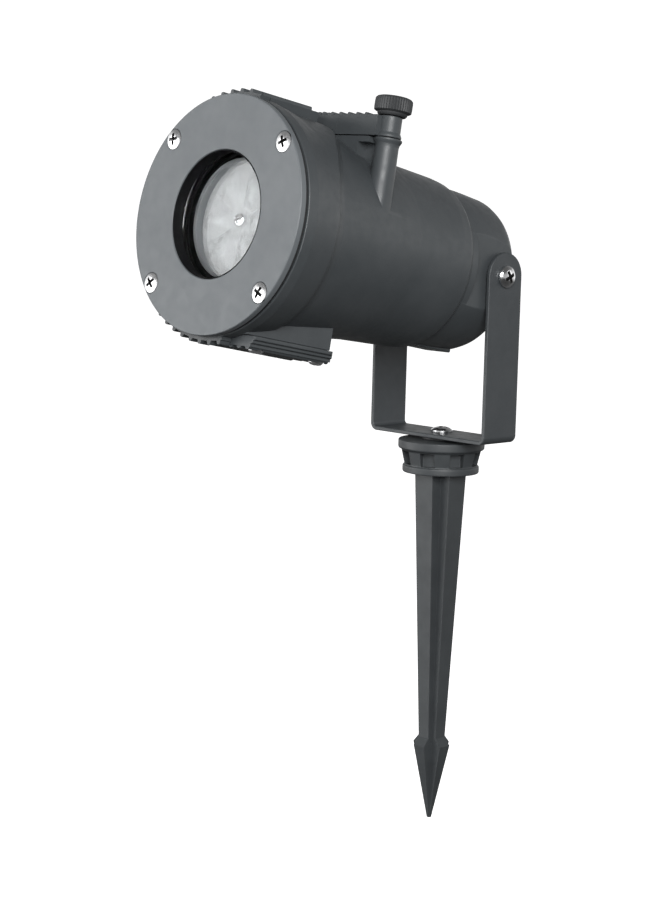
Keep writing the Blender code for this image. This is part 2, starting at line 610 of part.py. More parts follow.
def make_drive(head, motor_x, motor_z):
    """Bearing plate of the turning lens, the motor and its mounting plate."""
    bearing = piece("lens_bearing", tube(28.3, FLANGE_BORE - GAP, -127.4, -123.4), head, BLACK_PLASTIC)
    relief = rod(PINION_PITCH_R + 1.4, -125.0, -120.0, "Y", (motor_x, 0, motor_z), 24)
    boolean(bearing, "DIFFERENCE", tool("bearing_relief", relief, head))
    mount = piece("motor_mount", tube(22.0, FLANGE_BORE - GAP, -118.0, -116.2), head, BLACK_PLASTIC)
    shaft_hole = rod(2.2, -120.0, -110.0, "Y", (motor_x, 0, motor_z), 16)
    boolean(mount, "DIFFERENCE", tool("mount_shaft_hole", shaft_hole, head))
    can = turned([(0, -104.6), (1.5, -104.6), (1.5, -115.9), (7.0, -115.9), (7.0, -103.4), (0, -103.4)],
                 "Y", (motor_x, 0, motor_z), steps=20)
    piece("lens_motor", can, head, STEEL)


def make_slide(head):
    guide = piece("slide_guide", block((-28.0, 28.0), (SLIDE_Y - 3.5, SLIDE_Y + 3.5), (-28.0, 28.0)),
                  head, BLACK_PLASTIC)
    slot = block((-60.0, 22.3), (SLIDE_Y - 1.6, SLIDE_Y + 1.6), (-22.4, 22.4))
    boolean(guide, "DIFFERENCE", tool("guide_slot", slot, head))
    boolean(guide, "DIFFERENCE", tool("guide_light", rod(19.0, -110.0, -90.0, steps=32), head))
    slide = piece("pattern_slide", block((-36.0, 21.8), (SLIDE_Y - 1.3, SLIDE_Y + 1.3), (-22.0, 22.0)),
                  head, BLACK_PLASTIC)
    boolean(slide, "DIFFERENCE", tool("slide_opening", rod(17.3, -110.0, -90.0, steps=32), head))
    piece("pattern_glass", rod(17.0, SLIDE_Y - 0.7, SLIDE_Y + 0.7, steps=32), head, SLIDE_FILM)


def make_lamp(head):
    """Condenser, light source and heat sink, one behind the other."""
    piece("condenser_lens", turned([(0, -94.0), (9.0, -93.2), (15.0, -91.0), (19.0, -87.4), (19.0, -86.0),
                                    (0, -86.0)], steps=32), head, GLASS)
    piece("condenser_holder", turned([(19.3, -94.5), (24.0, -94.5), (24.0, -79.0), (16.0, -79.0),
                                      (16.0, -84.6), (17.6, -85.7), (19.3, -85.7)], steps=32),
          head, BLACK_PLASTIC)
    piece("led_emitter", turned([(0, -81.4), (3.2, -80.7), (5.4, -78.4), (5.4, -76.7), (0, -76.7)], steps=24),
          head, LED_AMBER)
    piece("led_board", rod(26.0, -76.4, -74.8, steps=32), head, BOARD_WHITE)
    sink = piece("heat_sink", rod(35.0, -74.5, -50.0, steps=36), head, ALUMINIUM)
    slots = [block((-40.0, 40.0), (-69.0, -48.0), (z - 1.7, z + 1.7)) for z in range(-28, 29, 7)]
    boolean(sink, "DIFFERENCE", tool("sink_slots", merged(*slots), head))


def make_electrics(head):
    board = piece("driver_board", block((-24.0, 24.0), (-44.0, 0.0), (-13.6, -12.0)), head, BOARD_GREEN)
    holes = [rod(1.6, -20, 0, "Z", (x, -40.5, 0), 12) for x in (-20.5, 20.5)]
    boolean(board, "DIFFERENCE", tool("board_holes", merged(*holes), head))
    piece("transformer", block((-10.0, 8.0), (-34.0, -18.0), (-11.7, 1.0)), head, BLACK_PLASTIC)
    piece("capacitor", rod(5.0, -11.7, 5.0, "Z", (16.5, -22.0, 0), 20), head, KNOB_PLASTIC)


def make_pinion(pinion, motor_x, motor_z):
    half_step = 180.0 / PINION_TEETH
    outline = gear_outline(PINION_TEETH, PINION_PITCH_R, 0.9, 1.0, MOTOR_ANGLE + 180.0 + half_step)
    outline = [(x + motor_x, z + motor_z) for x, z in outline]
    gear = piece("motor_pinion", prism(outline, "Y", -122.6, -118.6), pinion, NYLON)
    shaft = rod(1.1, -121.0, -105.0, "Y", (motor_x, 0, motor_z), 16)
    boolean(gear, "UNION", tool("motor_shaft", shaft, pinion))


# ---- head: rear ---------------------------------------------------------
def cap_outer():
    return [(0, CAP_FRONT_Y), (CAP_R, CAP_FRONT_Y), (CAP_R, RING_Y - 1.1), (34.1, RING_Y - 1.1),
            (34.1, RING_Y + 1.1), (CAP_R, RING_Y + 1.1), (CAP_R, -12.0), (35.0, -2.5), (34.6, 2.5),
            (33.7, 5.0), (31.3, 7.5), (28.2, 9.1), (24.9, 10.4), (CAP_BOSS_R + 0.6, 11.0), (CAP_BOSS_R, 11.8),
            (CAP_BOSS_R, 17.0), (CAP_BOSS_R - 1.0, 20.0), (CAP_BOSS_R - 3.2, 21.6),
            (CAP_BOSS_R - 6.0, CAP_END_Y), (0, CAP_END_Y)]


def cap_hollow():
    return [(0, CAP_FRONT_Y - 1), (32.4, CAP_FRONT_Y - 1), (32.4, -1.0), (30.6, 3.5), (26.0, 6.8), (16.8, 8.8),
            (16.8, 16.0), (14.5, 18.4), (0, 18.4)]


def flats(half):
    """Keep-out blocks either side of the cap, behind its collar."""
    return merged(block((half, 60.0), (CAP_COLLAR_Y, 60.0), (-60.0, 60.0)),
                  block((-60.0, -half), (CAP_COLLAR_Y, 60.0), (-60.0, 60.0)))


def make_rear(head):
    cap = piece("rear_cap", turned(cap_outer(), steps=36), head, HOUSING_METAL)
    hollow = tool("cap_hollow", turned(cap_hollow(), steps=32), head)
    boolean(hollow, "DIFFERENCE", tool("hollow_flats", flats(CAP_FLAT_X - 2.3), head))
    boolean(cap, "DIFFERENCE", hollow)
    boolean(cap, "DIFFERENCE", tool("cap_flats", flats(CAP_FLAT_X), head))
    for side, sign in (("right", 1), ("left", -1)):
        boss = rod(5.6, sign * 23.0, sign * (CAP_FLAT_X - 1.0), "X")
        boolean(cap, "UNION", tool(f"pivot_boss_{side}", boss, head))
        insert = tube(2.4, 3.3, sign * 24.0, sign * (CAP_FLAT_X - 0.4), "X", steps=20)
        piece(f"pivot_insert_{side}", insert, head, BRASS)
    drills = [rod(3.6, -60.0, 60.0, "X", steps=20), rod(6.3, 12.0, 60.0, steps=24)]
    for angle in CAP_SCREW_ANGLES:
        drill = rod(1.6, 30.0, 37.0, "Z", (0, CAP_SCREW_Y, 0), 16)
        spin_to(drill, angle)
        drills.append(drill)
    boolean(cap, "DIFFERENCE", tool("cap_drillings", merged(*drills), head))
    piece("rear_o_ring", tube(34.35, 35.7, RING_Y - 0.8, RING_Y + 0.8, steps=36), head, RUBBER)
    for i, angle in enumerate(CAP_SCREW_ANGLES):
        screw = turned([(0, 32.2), (1.3, 32.2), (1.3, 36.7), (2.8, 38.2), (0, 38.4)], "Z", (0, CAP_SCREW_Y, 0),
                       steps=16)
        spin_to(screw, angle)
        piece(f"cap_screw_{i + 1}", screw, head, STEEL)


def make_gland(head):
    seat = CAP_END_Y + GAP
    body = piece("cable_gland", turned([(3.6, 13.6), (6.0, 13.6), (6.0, seat), (9.6, seat), (9.6, seat + 3.0),
                                        (6.0, seat + 3.0), (6.0, seat + 7.0), (3.6, seat + 7.0)], steps=36),
                 head, BLACK_PLASTIC)
    hexagon = prism([polar(9.9, 60.0 * i) for i in range(6)], "Y", 10.0, 60.0)
    boolean(body, "INTERSECT", tool("gland_hexagon", hexagon, head))
    piece("gland_nut", turned([(6.35, seat + 3.3), (8.3, seat + 3.3), (8.3, seat + 7.4), (6.5, seat + 10.0),
                               (4.4, seat + 10.4), (4.4, seat + 8.8), (6.35, seat + 7.8)], steps=24),
          head, BLACK_PLASTIC)
    nut = piece("gland_lock_nut", tube(6.35, 8.9, 14.4, 18.0, steps=24), head, BLACK_PLASTIC)
    flats_af16 = prism([polar(9.2, 60.0 * i) for i in range(6)], "Y", 10.0, 30.0)
    boolean(nut, "INTERSECT", tool("lock_nut_hexagon", flats_af16, head))


def make_pivot(head, side, sign):
    washer = tube(2.7, 7.0, CAP_FLAT_X + GAP, YOKE_W / 2 - STRIP_T - GAP, "X", steps=24)
    screw = turned(screw_profile(4.8, 1.4, 2.1, 10.5, 0.9), "X", steps=24)
    bmesh.ops.scale(screw, vec=(-1, 1, 1), verts=screw.verts)
    bmesh.ops.translate(screw, vec=(YOKE_W / 2 + GAP, 0, 0), verts=screw.verts)
    for bm in (washer, screw):
        bmesh.ops.scale(bm, vec=(sign, 1, 1), verts=bm.verts)
    piece(f"pivot_washer_{side}", washer, head, NYLON)
    piece(f"pivot_screw_{side}", screw, head, CHROME)


# ---- materials ----------------------------------------------------------
clear_scene()
TOOL_MATERIAL = material("tool", (0.8, 0.2, 0.2), 0.5)
BEZEL_METAL = material("bezel_powder_coat", (0.20, 0.215, 0.225), 0.55, 0.3)
HOUSING_METAL = material("housing_powder_coat", (0.075, 0.083, 0.088), 0.5, 0.3)
BRACKET_PAINT = material("bracket_paint", (0.058, 0.064, 0.069), 0.5, 0.3)
STAKE_PLASTIC = material("stake_plastic", (0.055, 0.062, 0.066), 0.45)
BLACK_PLASTIC = material("black_plastic", (0.012, 0.013, 0.014), 0.5)
KNOB_PLASTIC = material("knob_plastic", (0.03, 0.032, 0.034), 0.6)
RUBBER = material("rubber", (0.01, 0.011, 0.012), 0.8)
NYLON = material("nylon", (0.03, 0.03, 0.03), 0.5)
BRASS = material("brass", (0.75, 0.55, 0.22), 0.3, 1.0)
STEEL = material("zinc_steel", (0.75, 0.76, 0.77), 0.3, 1.0)
CHROME = material("chrome", (0.85, 0.86, 0.87), 0.12, 1.0)
GLASS = material("glass", (0.95, 0.96, 0.97), 0.05, 0.0, 0.9)
FROSTED = material("frosted_lens", (0.78, 0.8, 0.81), 0.3)
LENS_FRAME = material("lens_frame", (0.22, 0.23, 0.24), 0.45)
SLIDE_FILM = material("slide_film", (0.02, 0.025, 0.05), 0.2)
LED_AMBER = material("led_phosphor", (0.9, 0.8, 0.2), 0.4)
BOARD_WHITE = material("board_white", (0.8, 0.8, 0.78), 0.4)
BOARD_GREEN = material("board_green", (0.02, 0.18, 0.06), 0.45)
ALUMINIUM = material("aluminium", (0.6, 0.61, 0.62), 0.35, 1.0)


# ---- assembly -----------------------------------------------------------
def build():
    motor_x, motor_z = polar(GEAR_DISTANCE, MOTOR_ANGLE)
    root = Body("stake_axis")
    bracket = Body("bracket_axis", root)
    head = Body("head_axis", bracket, (0, 0, PIVOT_Z), (-math.radians(TILT), 0, 0)).reframed()
    door = Body("door_axis", head, (HINGE_X, 0, HINGE_Z))
    thumb = Body("thumb_screw_axis", door, (POST_X, POST_Y, 0))
    lens = Body("lens_axis", head)
    pinion = Body("pinion_axis", head, (motor_x, 0, motor_z))

    make_stake(root)
    make_bracket(bracket)
    make_shell(head)
    make_front(head)
    make_door(door)
    make_door_gasket(door)
    make_hinge(head)
    make_thumb_screw(thumb)
    make_lens_group(lens)
    make_drive(head, motor_x, motor_z)
    make_slide(head)
    make_lamp(head)
    make_electrics(head)
    make_pinion(pinion, motor_x, motor_z)
    make_rear(head)
    make_gland(head)
    make_pivot(head, "right", 1)
    make_pivot(head, "left", -1)


build()
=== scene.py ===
"""Looks of the garden light projector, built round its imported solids.

Pieces of the lamp head are made in the head's own frame, in millimetres: the
origin is the tilt pivot, +Y runs back along the barrel and +Z is up across it.
Pieces of the stake and bracket are made in millimetres from the ground line.
"""

import json
import math

import bmesh
import bpy
from mathutils import Matrix, Vector


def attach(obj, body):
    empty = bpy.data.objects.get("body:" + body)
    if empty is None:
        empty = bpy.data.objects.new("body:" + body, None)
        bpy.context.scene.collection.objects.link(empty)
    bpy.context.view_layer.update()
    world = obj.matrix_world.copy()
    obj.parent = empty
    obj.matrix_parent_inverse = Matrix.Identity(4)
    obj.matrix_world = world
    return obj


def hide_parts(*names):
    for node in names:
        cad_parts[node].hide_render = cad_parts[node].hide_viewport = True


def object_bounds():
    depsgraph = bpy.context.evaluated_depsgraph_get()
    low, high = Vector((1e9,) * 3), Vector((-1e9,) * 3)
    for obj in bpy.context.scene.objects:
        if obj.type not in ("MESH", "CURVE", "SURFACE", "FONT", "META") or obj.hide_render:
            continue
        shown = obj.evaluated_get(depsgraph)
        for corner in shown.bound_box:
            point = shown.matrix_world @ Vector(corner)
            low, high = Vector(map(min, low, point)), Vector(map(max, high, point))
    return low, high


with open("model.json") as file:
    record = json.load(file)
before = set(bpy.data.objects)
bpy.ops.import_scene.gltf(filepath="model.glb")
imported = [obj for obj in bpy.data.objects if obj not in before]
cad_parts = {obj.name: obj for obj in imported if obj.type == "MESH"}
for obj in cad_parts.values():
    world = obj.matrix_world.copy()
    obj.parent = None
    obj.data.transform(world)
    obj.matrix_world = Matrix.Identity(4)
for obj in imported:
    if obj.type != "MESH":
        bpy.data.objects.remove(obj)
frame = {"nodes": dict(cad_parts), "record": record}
CAD_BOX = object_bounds()

# ---- driving dimensions, millimetres ------------------------------------
TILT = 10.6
PIVOT_Z = 90.0
GROUND = Matrix.Scale(0.001, 4)
HEAD = GROUND @ Matrix.Translation((0, 0, PIVOT_Z)) @ Matrix.Rotation(-math.radians(TILT), 4, "X")

FACE_R = 49.4
FACE_Y = -140.0
BEZEL_BACK = -137.0
WINDOW_R = 25.9
SCREW_CIRCLE = 44.8
SCREW_ANGLES = (42.0, 138.0, 222.0, 318.0)

SHELL_FRONT = -135.5
FLANGE_BACK = -130.0
FLANGE_R = 49.4
FLANGE_BORE = 41.4
DRUM_BACK = -116.0
DRUM_FADE = 6.5
DRUM_STEPS = 112
BAY_R = 45.0
BAY_BORE = 42.6
NECK_Y = -60.0
NECK_R = 39.2
SEAM_Y = -24.3
REAR_BORE = 35.9
NECK_BORE = 37.0
SLIDE_WINDOW = ((-60.0, 0.0), (-104.0, -93.0), (-24.0, 24.0))

DOOR_FRONT = -129.6
DOOR_BACK = -78.0
DOOR_TOP = 78.0
DOOR_FOOT = 262.0
DOOR_R = 50.8
DOOR_INNER = 45.8
STRIP_END = -102.0
DRUM_SWEEP = ((0.0, -116.0), (20.0, -116.0), (35.0, -113.5), (50.0, -109.0), (60.0, -104.0),
              (66.0, -101.5), (78.0, -101.5))
RIB_PITCH = 6.5
RIB_FIRST = 84.9
RIB_W = 2.2
RIB_H = 1.6

EAR_FRONT = -91.0
EAR_PART_Z = 43.0
EAR_TOP_Z = 51.7
POST = (34.3, -84.0, 0.0)

HINGE_X = -1.0
HINGE_Z = -49.5
HINGE_FRONT = -127.0
KNUCKLE_R = 2.6
KNUCKLE_L = 7.9
KNUCKLE_STEP = 8.5
LUG_Z = -46.0
LEAF_BACK = -84.2
LEAF_FOOT_Z = -50.8
HINGE_SCREW_X = 17.0
HINGE_SCREW_Y = (-122.0, -88.0)

STRIP_W = 21.0
STRIP_T = 1.8
YOKE_W = 70.0
YOKE_BASE_Z = 16.3
BEND_R = 3.5
STAKE_TOP = 14.9
COLLAR_R = 17.3
RIM_R = 19.5
CAP_R = 35.5
CAP_FLAT_X = 31.9
CAP_END_Y = 22.0
CAP_SCREW_Y = -33.2
CAP_SCREW_ANGLES = (-100.0, 170.0)


# ---- mesh helpers -------------------------------------------------------
AXES = {
    "X": (Vector((0, 1, 0)), Vector((0, 0, 1)), Vector((1, 0, 0))),
    "Y": (Vector((1, 0, 0)), Vector((0, 0, 1)), Vector((0, 1, 0))),
    "Z": (Vector((1, 0, 0)), Vector((0, 1, 0)), Vector((0, 0, 1))),
}


def turned(profile, axis="Y", centre=(0, 0, 0), start=0.0, sweep=360.0, steps=96):
    """Spin a profile of (radius, height) points about an axis; a part turn gets flat ends."""
    across, up, along = AXES[axis]
    bm = bmesh.new()
    first = math.radians(start)
    radial = across * math.cos(first) + up * math.sin(first)
    verts = [bm.verts.new(radial * r + along * h) for r, h in profile]
    edges = [bm.edges.new(pair) for pair in zip(verts, verts[1:])]
    if profile[0][0] > 0 or profile[-1][0] > 0:
        edges.append(bm.edges.new((verts[-1], verts[0])))
    full = sweep >= 360.0
    bmesh.ops.spin(bm, geom=verts + edges, cent=(0, 0, 0), axis=across.cross(up),
                   angle=math.radians(sweep), steps=steps, use_merge=full)
    bmesh.ops.remove_doubles(bm, verts=bm.verts, dist=1e-4)
    if not full:
        rim = [e for e in bm.edges if e.is_boundary]
        bmesh.ops.holes_fill(bm, edges=rim, sides=0)
    bmesh.ops.translate(bm, vec=centre, verts=bm.verts)
    bmesh.ops.recalc_face_normals(bm, faces=bm.faces)
    return bm


def rod(r, h0, h1, axis="Y", centre=(0, 0, 0), steps=48):
    return turned([(0, h0), (r, h0), (r, h1), (0, h1)], axis, centre, steps=steps)


def block(x, y, z):
    """A box from three (low, high) pairs."""
    bm = bmesh.new()
    size = Matrix.Diagonal((x[1] - x[0], y[1] - y[0], z[1] - z[0], 1.0))
    middle = Matrix.Translation(((x[0] + x[1]) / 2, (y[0] + y[1]) / 2, (z[0] + z[1]) / 2))
    bmesh.ops.create_cube(bm, size=1.0, matrix=middle @ size)
    return bm


def prism(outline, axis, low, high):
    """Extrude a flat outline along an axis."""
    across, up, along = AXES[axis]
    bm = bmesh.new()
    verts = [bm.verts.new(across * a + up * b + along * low) for a, b in outline]
    face = bm.faces.new(verts)
    grown = bmesh.ops.extrude_face_region(bm, geom=[face])
    moved = [v for v in grown["geom"] if isinstance(v, bmesh.types.BMVert)]
    bmesh.ops.translate(bm, vec=along * (high - low), verts=moved)
    bmesh.ops.recalc_face_normals(bm, faces=bm.faces)
    return bm


def merged(*parts):
    """Several meshes that don't touch, in one."""
    result = bmesh.new()
    for part in parts:
        mesh = bpy.data.meshes.new("part")
        part.to_mesh(mesh)
        part.free()
        result.from_mesh(mesh)
        bpy.data.meshes.remove(mesh)
    return result


def polar(r, degrees):
    turn = math.radians(degrees)
    return r * math.cos(turn), r * math.sin(turn)


def arc(cx, cy, r, a0, a1, count):
    step = (a1 - a0) / count
    return [(cx + polar(r, a0 + step * i)[0], cy + polar(r, a0 + step * i)[1]) for i in range(count + 1)]


def eased(points, r, count=3, closed=False):
    """An outline with its corners rounded off; the two ends of an open one stay as they are."""
    result = []
    for i, corner in enumerate(points):
        if not closed and i in (0, len(points) - 1):
            result.append(corner)
            continue
        here = Vector(corner)
        before = Vector(points[i - 1]) - here
        after = Vector(points[(i + 1) % len(points)]) - here
        start = here + before.normalized() * min(r, before.length * 0.45)
        end = here + after.normalized() * min(r, after.length * 0.45)
        for j in range(count + 1):
            t = j / count
            p = start * (1 - t) ** 2 + here * 2 * t * (1 - t) + end * t ** 2
            result.append((p.x, p.y))
    return result


def temporary(bm):
    mesh = bpy.data.meshes.new("temporary")
    bmesh.ops.recalc_face_normals(bm, faces=bm.faces)
    bm.to_mesh(mesh)
    bm.free()
    obj = bpy.data.objects.new("temporary", mesh)
    bpy.context.collection.objects.link(obj)
    return obj


def combined(base, *steps):
    """A mesh after a chain of Booleans, each given as (operation, mesh)."""
    body = temporary(base)
    others = []
    for operation, bm in steps:
        other = temporary(bm)
        others.append(other)
        mod = body.modifiers.new(operation, "BOOLEAN")
        mod.operation = operation
        mod.object = other
        mod.solver = "EXACT"
    graph = bpy.context.evaluated_depsgraph_get()
    mesh = bpy.data.meshes.new_from_object(body.evaluated_get(graph))
    result = bmesh.new()
    result.from_mesh(mesh)
    for obj in (body, *others):
        bpy.data.objects.remove(obj, do_unlink=True)
    bpy.data.meshes.remove(mesh)
    return result


def moved(bm, by):
    bmesh.ops.translate(bm, vec=by, verts=bm.verts)
    return bm


def spun(bm, degrees, axis="Y"):
    """A mesh turned about one of the frame's axes."""
    turn = Matrix.Rotation(math.radians(degrees), 3, axis)
    bmesh.ops.rotate(bm, cent=(0, 0, 0), matrix=turn, verts=bm.verts)
    return bm


def piece(name, bm, body, mat, stands_for=(), place=HEAD, bevel=0.0, angle=30.0):
    """A finished object: placed, shaded, painted, riding on a body."""
    bmesh.ops.recalc_face_normals(bm, faces=bm.faces)
    bmesh.ops.transform(bm, matrix=place, verts=bm.verts)
    mesh = bpy.data.meshes.new(name)
    bm.to_mesh(mesh)
    bm.free()
    mesh.shade_smooth()
    mesh.set_sharp_from_angle(angle=math.radians(angle))
    mesh.materials.append(mat)
    # screw metals carry a second slot: painted shade for the inside of their cross recesses
    if mat in (STEEL, CHROME):
        mesh.materials.append(RECESS_SHADE)
    obj = bpy.data.objects.new(name, mesh)
    bpy.context.collection.objects.link(obj)
    if bevel:
        edge = obj.modifiers.new("edge", "BEVEL")
        edge.width = bevel * 0.001
        edge.segments = 2
        edge.limit_method = "ANGLE"
        edge.angle_limit = math.radians(angle)
    flat = obj.modifiers.new("normals", "WEIGHTED_NORMAL")
    flat.keep_sharp = True
    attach(obj, body)
    if stands_for:
        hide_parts(*stands_for)
    return obj


# ---- materials ----------------------------------------------------------
class Paint:
    """Builds a Principled material from a few node steps."""

    def __init__(self, name):
        self.mat = bpy.data.materials.new(name)
        self.mat.use_nodes = True
        self.tree = self.mat.node_tree
        self.shader = self.tree.nodes["Principled BSDF"]
        self.place = self.node("ShaderNodeTexCoord").outputs["Object"]

    def node(self, kind, **settings):
        made = self.tree.nodes.new(kind)
        for key, value in settings.items():
            if key in made.inputs:
                made.inputs[key].default_value = value
            else:
                setattr(made, key, value)
        return made

    def link(self, a, b):
        self.tree.links.new(a, b)

    def noise(self, scale, detail=4.0, rough=0.55):
        made = self.node("ShaderNodeTexNoise", Scale=scale, Detail=detail, Roughness=rough)
        self.link(self.place, made.inputs["Vector"])
        return made.outputs["Fac"]

    def spread(self, source, low, high, start=0.3, end=0.7):
        made = self.node("ShaderNodeMapRange")
        for key, value in (("From Min", start), ("From Max", end), ("To Min", low), ("To Max", high)):
            made.inputs[key].default_value = value
        self.link(source, made.inputs["Value"])
        return made.outputs["Result"]

    def colours(self, source, dark, light, start=0.35, end=0.65):
        made = self.node("ShaderNodeValToRGB")
        made.color_ramp.elements[0].position = start
        made.color_ramp.elements[0].color = (*dark, 1.0)
        made.color_ramp.elements[1].position = end
        made.color_ramp.elements[1].color = (*light, 1.0)
        self.link(source, made.inputs["Fac"])
        self.link(made.outputs["Color"], self.shader.inputs["Base Color"])
        return self

    def roughness(self, source, low, high):
        self.link(self.spread(source, low, high), self.shader.inputs["Roughness"])
        return self

    def bump(self, source, depth, strength=1.0):
        made = self.node("ShaderNodeBump", Strength=strength, Distance=depth)
        self.link(source, made.inputs["Height"])
        self.link(made.outputs["Normal"], self.shader.inputs["Normal"])
        return self

    def set(self, **values):
        for key, value in values.items():
            self.shader.inputs[key.replace("_", " ")].default_value = value
        return self


def coated(name, dark, light, rough, grain=2600.0, depth=0.00004):
    """Fine-textured powder coat or moulded plastic, with slightly uneven tone and gloss."""
    paint = Paint(name)
    paint.colours(paint.noise(55.0, 3.0), dark, light)
    paint.roughness(paint.noise(240.0, 2.0), rough - 0.06, rough + 0.06)
    paint.bump(paint.noise(grain, 2.0, 0.5), depth, 0.6)
    return paint.mat


def metal(name, dark, light, rough, scale=900.0):
    paint = Paint(name)
    paint.set(Metallic=1.0)
    paint.colours(paint.noise(scale, 3.0), dark, light)
    paint.roughness(paint.noise(scale * 0.4, 3.0), rough - 0.05, rough + 0.08)
    paint.bump(paint.noise(scale * 2.0, 2.0), 0.00001, 0.4)
    return paint.mat


def clear(name, tint, rough):
    paint = Paint(name)
    paint.set(Transmission_Weight=1.0, IOR=1.45)
    paint.colours(paint.noise(90.0), tint, (0.98, 0.985, 0.99))
    paint.roughness(paint.noise(300.0), rough, rough + 0.02)
    return paint.mat


BEZEL = coated("bezel_powder_coat", (0.110, 0.121, 0.129), (0.122, 0.133, 0.141), 0.5)
HOUSING = coated("housing_powder_coat", (0.046, 0.052, 0.056), (0.054, 0.060, 0.064), 0.45)
BRACKET = coated("bracket_paint", (0.038, 0.043, 0.047), (0.045, 0.050, 0.054), 0.5)
STAKE = coated("stake_plastic", (0.034, 0.038, 0.041), (0.041, 0.046, 0.049), 0.5)
BLACK = coated("black_plastic", (0.009, 0.010, 0.011), (0.013, 0.014, 0.015), 0.45)
TUBE = coated("shroud_black", (0.006, 0.006, 0.007), (0.009, 0.010, 0.010), 0.72)
TUBE.node_tree.nodes["Principled BSDF"].inputs["Specular IOR Level"].default_value = 0.1
KNOB = coated("knob_plastic", (0.024, 0.026, 0.028), (0.034, 0.036, 0.038), 0.6)
RUBBER = coated("rubber", (0.008, 0.009, 0.010), (0.012, 0.013, 0.014), 0.75)
RING = coated("lens_frame", (0.27, 0.28, 0.29), (0.31, 0.32, 0.33), 0.42)
BRASS = metal("brass", (0.62, 0.44, 0.16), (0.80, 0.60, 0.26), 0.3)
STEEL = metal("zinc_steel", (0.80, 0.81, 0.82), (0.95, 0.95, 0.96), 0.22)
CHROME = metal("chrome", (0.80, 0.81, 0.82), (0.92, 0.92, 0.93), 0.12)
ALUMINIUM = metal("aluminium", (0.55, 0.56, 0.57), (0.66, 0.67, 0.68), 0.35)
# painted shade: a dark metal for the inside of the screws' cross recesses, where shadow falls
RECESS_SHADE = metal("painted_recess_shade", (0.05, 0.05, 0.05), (0.08, 0.08, 0.08), 0.5)
GLASS = clear("clear_glass", (0.95, 0.97, 0.97), 0.02)
FROSTED = coated("frosted_lens", (0.33, 0.345, 0.355), (0.40, 0.415, 0.425), 0.28, 400.0)
FILM = coated("slide_film", (0.015, 0.02, 0.05), (0.05, 0.06, 0.10), 0.15)
PHOSPHOR = coated("led_phosphor", (0.80, 0.66, 0.12), (0.92, 0.80, 0.22), 0.4)
WHITE_BOARD = coated("board_white", (0.72, 0.72, 0.70), (0.80, 0.80, 0.78), 0.35)
GREEN_BOARD = coated("board_green", (0.015, 0.14, 0.05), (0.02, 0.20, 0.07), 0.4)

BY_SLOT = {
    "bezel_metal": BEZEL, "housing_metal": HOUSING, "bracket_paint": BRACKET, "stake_plastic": STAKE,
    "black_plastic": BLACK, "knob_plastic": KNOB, "rubber": RUBBER, "nylon": BLACK, "brass": BRASS,
    "zinc_steel": STEEL, "chrome": CHROME, "glass": GLASS, "frosted_lens": FROSTED, "lens_frame": RING,
    "slide_film": FILM, "led_phosphor": PHOSPHOR, "board_white": WHITE_BOARD, "board_green": GREEN_BOARD,
    "aluminium": ALUMINIUM,
}


def paint_frame():
    """Give every carried-over solid the finish of its slot."""
    for part in frame["record"]["subparts"]:
        obj = frame["nodes"][part["node"]]
        for slot in obj.material_slots:
            slot.material = BY_SLOT[part["material_slot"]]


# ---- front of the head --------------------------------------------------
def cross_recess(depth, reach, width):
    """The tapered cross of a screwdriver recess, cut downwards from Z = 0."""
    arms = []
    for turn in (0.0, 90.0):
        arm = bmesh.new()
        rings = []
        for z, scale in ((0.6, 1.0), (-depth, 0.62)):
            half, side = reach * scale, width * scale
            corners = ((-half, -side), (half, -side), (half, side), (-half, side))
            rings.append([arm.verts.new((x, y, z)) for x, y in corners])
        for i in range(4):
            j = (i + 1) % 4
            arm.faces.new((rings[0][i], rings[0][j], rings[1][j], rings[1][i]))
        arm.faces.new(rings[0])
        arm.faces.new(rings[1])
        arms.append(spun(arm, turn, "Z"))
    return combined(arms[0], ("UNION", arms[1]))


def screw_head(r, height, crown, shank_r, length, turn=0.0, shape="pan"):
    """A cross-head screw, its head's underside at Z = 0; the recess faces take the second material, dark
    paint that stands for the shade inside the recess.
    """
    if shape == "pan":
        top = [(r, 0), (r, height * 0.55), (r * 0.93, height * 0.85), (r * 0.72, height + crown * 0.55)]
    else:
        top = [(shank_r, 0), (r, height), (r * 0.86, height + crown * 0.35), (r * 0.6, height + crown * 0.7)]
    profile = [(0, -length), (shank_r, -length), (shank_r, 0), *top, (r * 0.35, height + crown * 0.93),
               (0, height + crown)]
    body = turned(profile, "Z", steps=48)
    depth = min(1.5, 0.7 * (height + crown))
    recess = moved(spun(cross_recess(depth, r * 0.70, r * 0.19), turn, "Z"), (0, 0, height + crown))
    head = combined(body, ("DIFFERENCE", recess))
    # faces inside the cross recess get the painted shade material
    for face in head.faces:
        middle = face.calc_center_median()
        sunk = middle.z < height - 0.1 or abs(face.normal.z) < 0.7
        if middle.z > 0 and middle.xy.length < r * 0.78 and sunk:
            face.material_index = 1
    return head


def stand_on(bm, direction, foot):
    """Turn a piece made along +Z to point a given way, with its origin at a foot point."""
    turn = Vector((0, 0, 1)).rotation_difference(Vector(direction)).to_matrix()
    bmesh.ops.rotate(bm, cent=(0, 0, 0), matrix=turn, verts=bm.verts)
    return moved(bm, foot)


def bezel_points():
    return [polar(SCREW_CIRCLE, a) for a in SCREW_ANGLES]


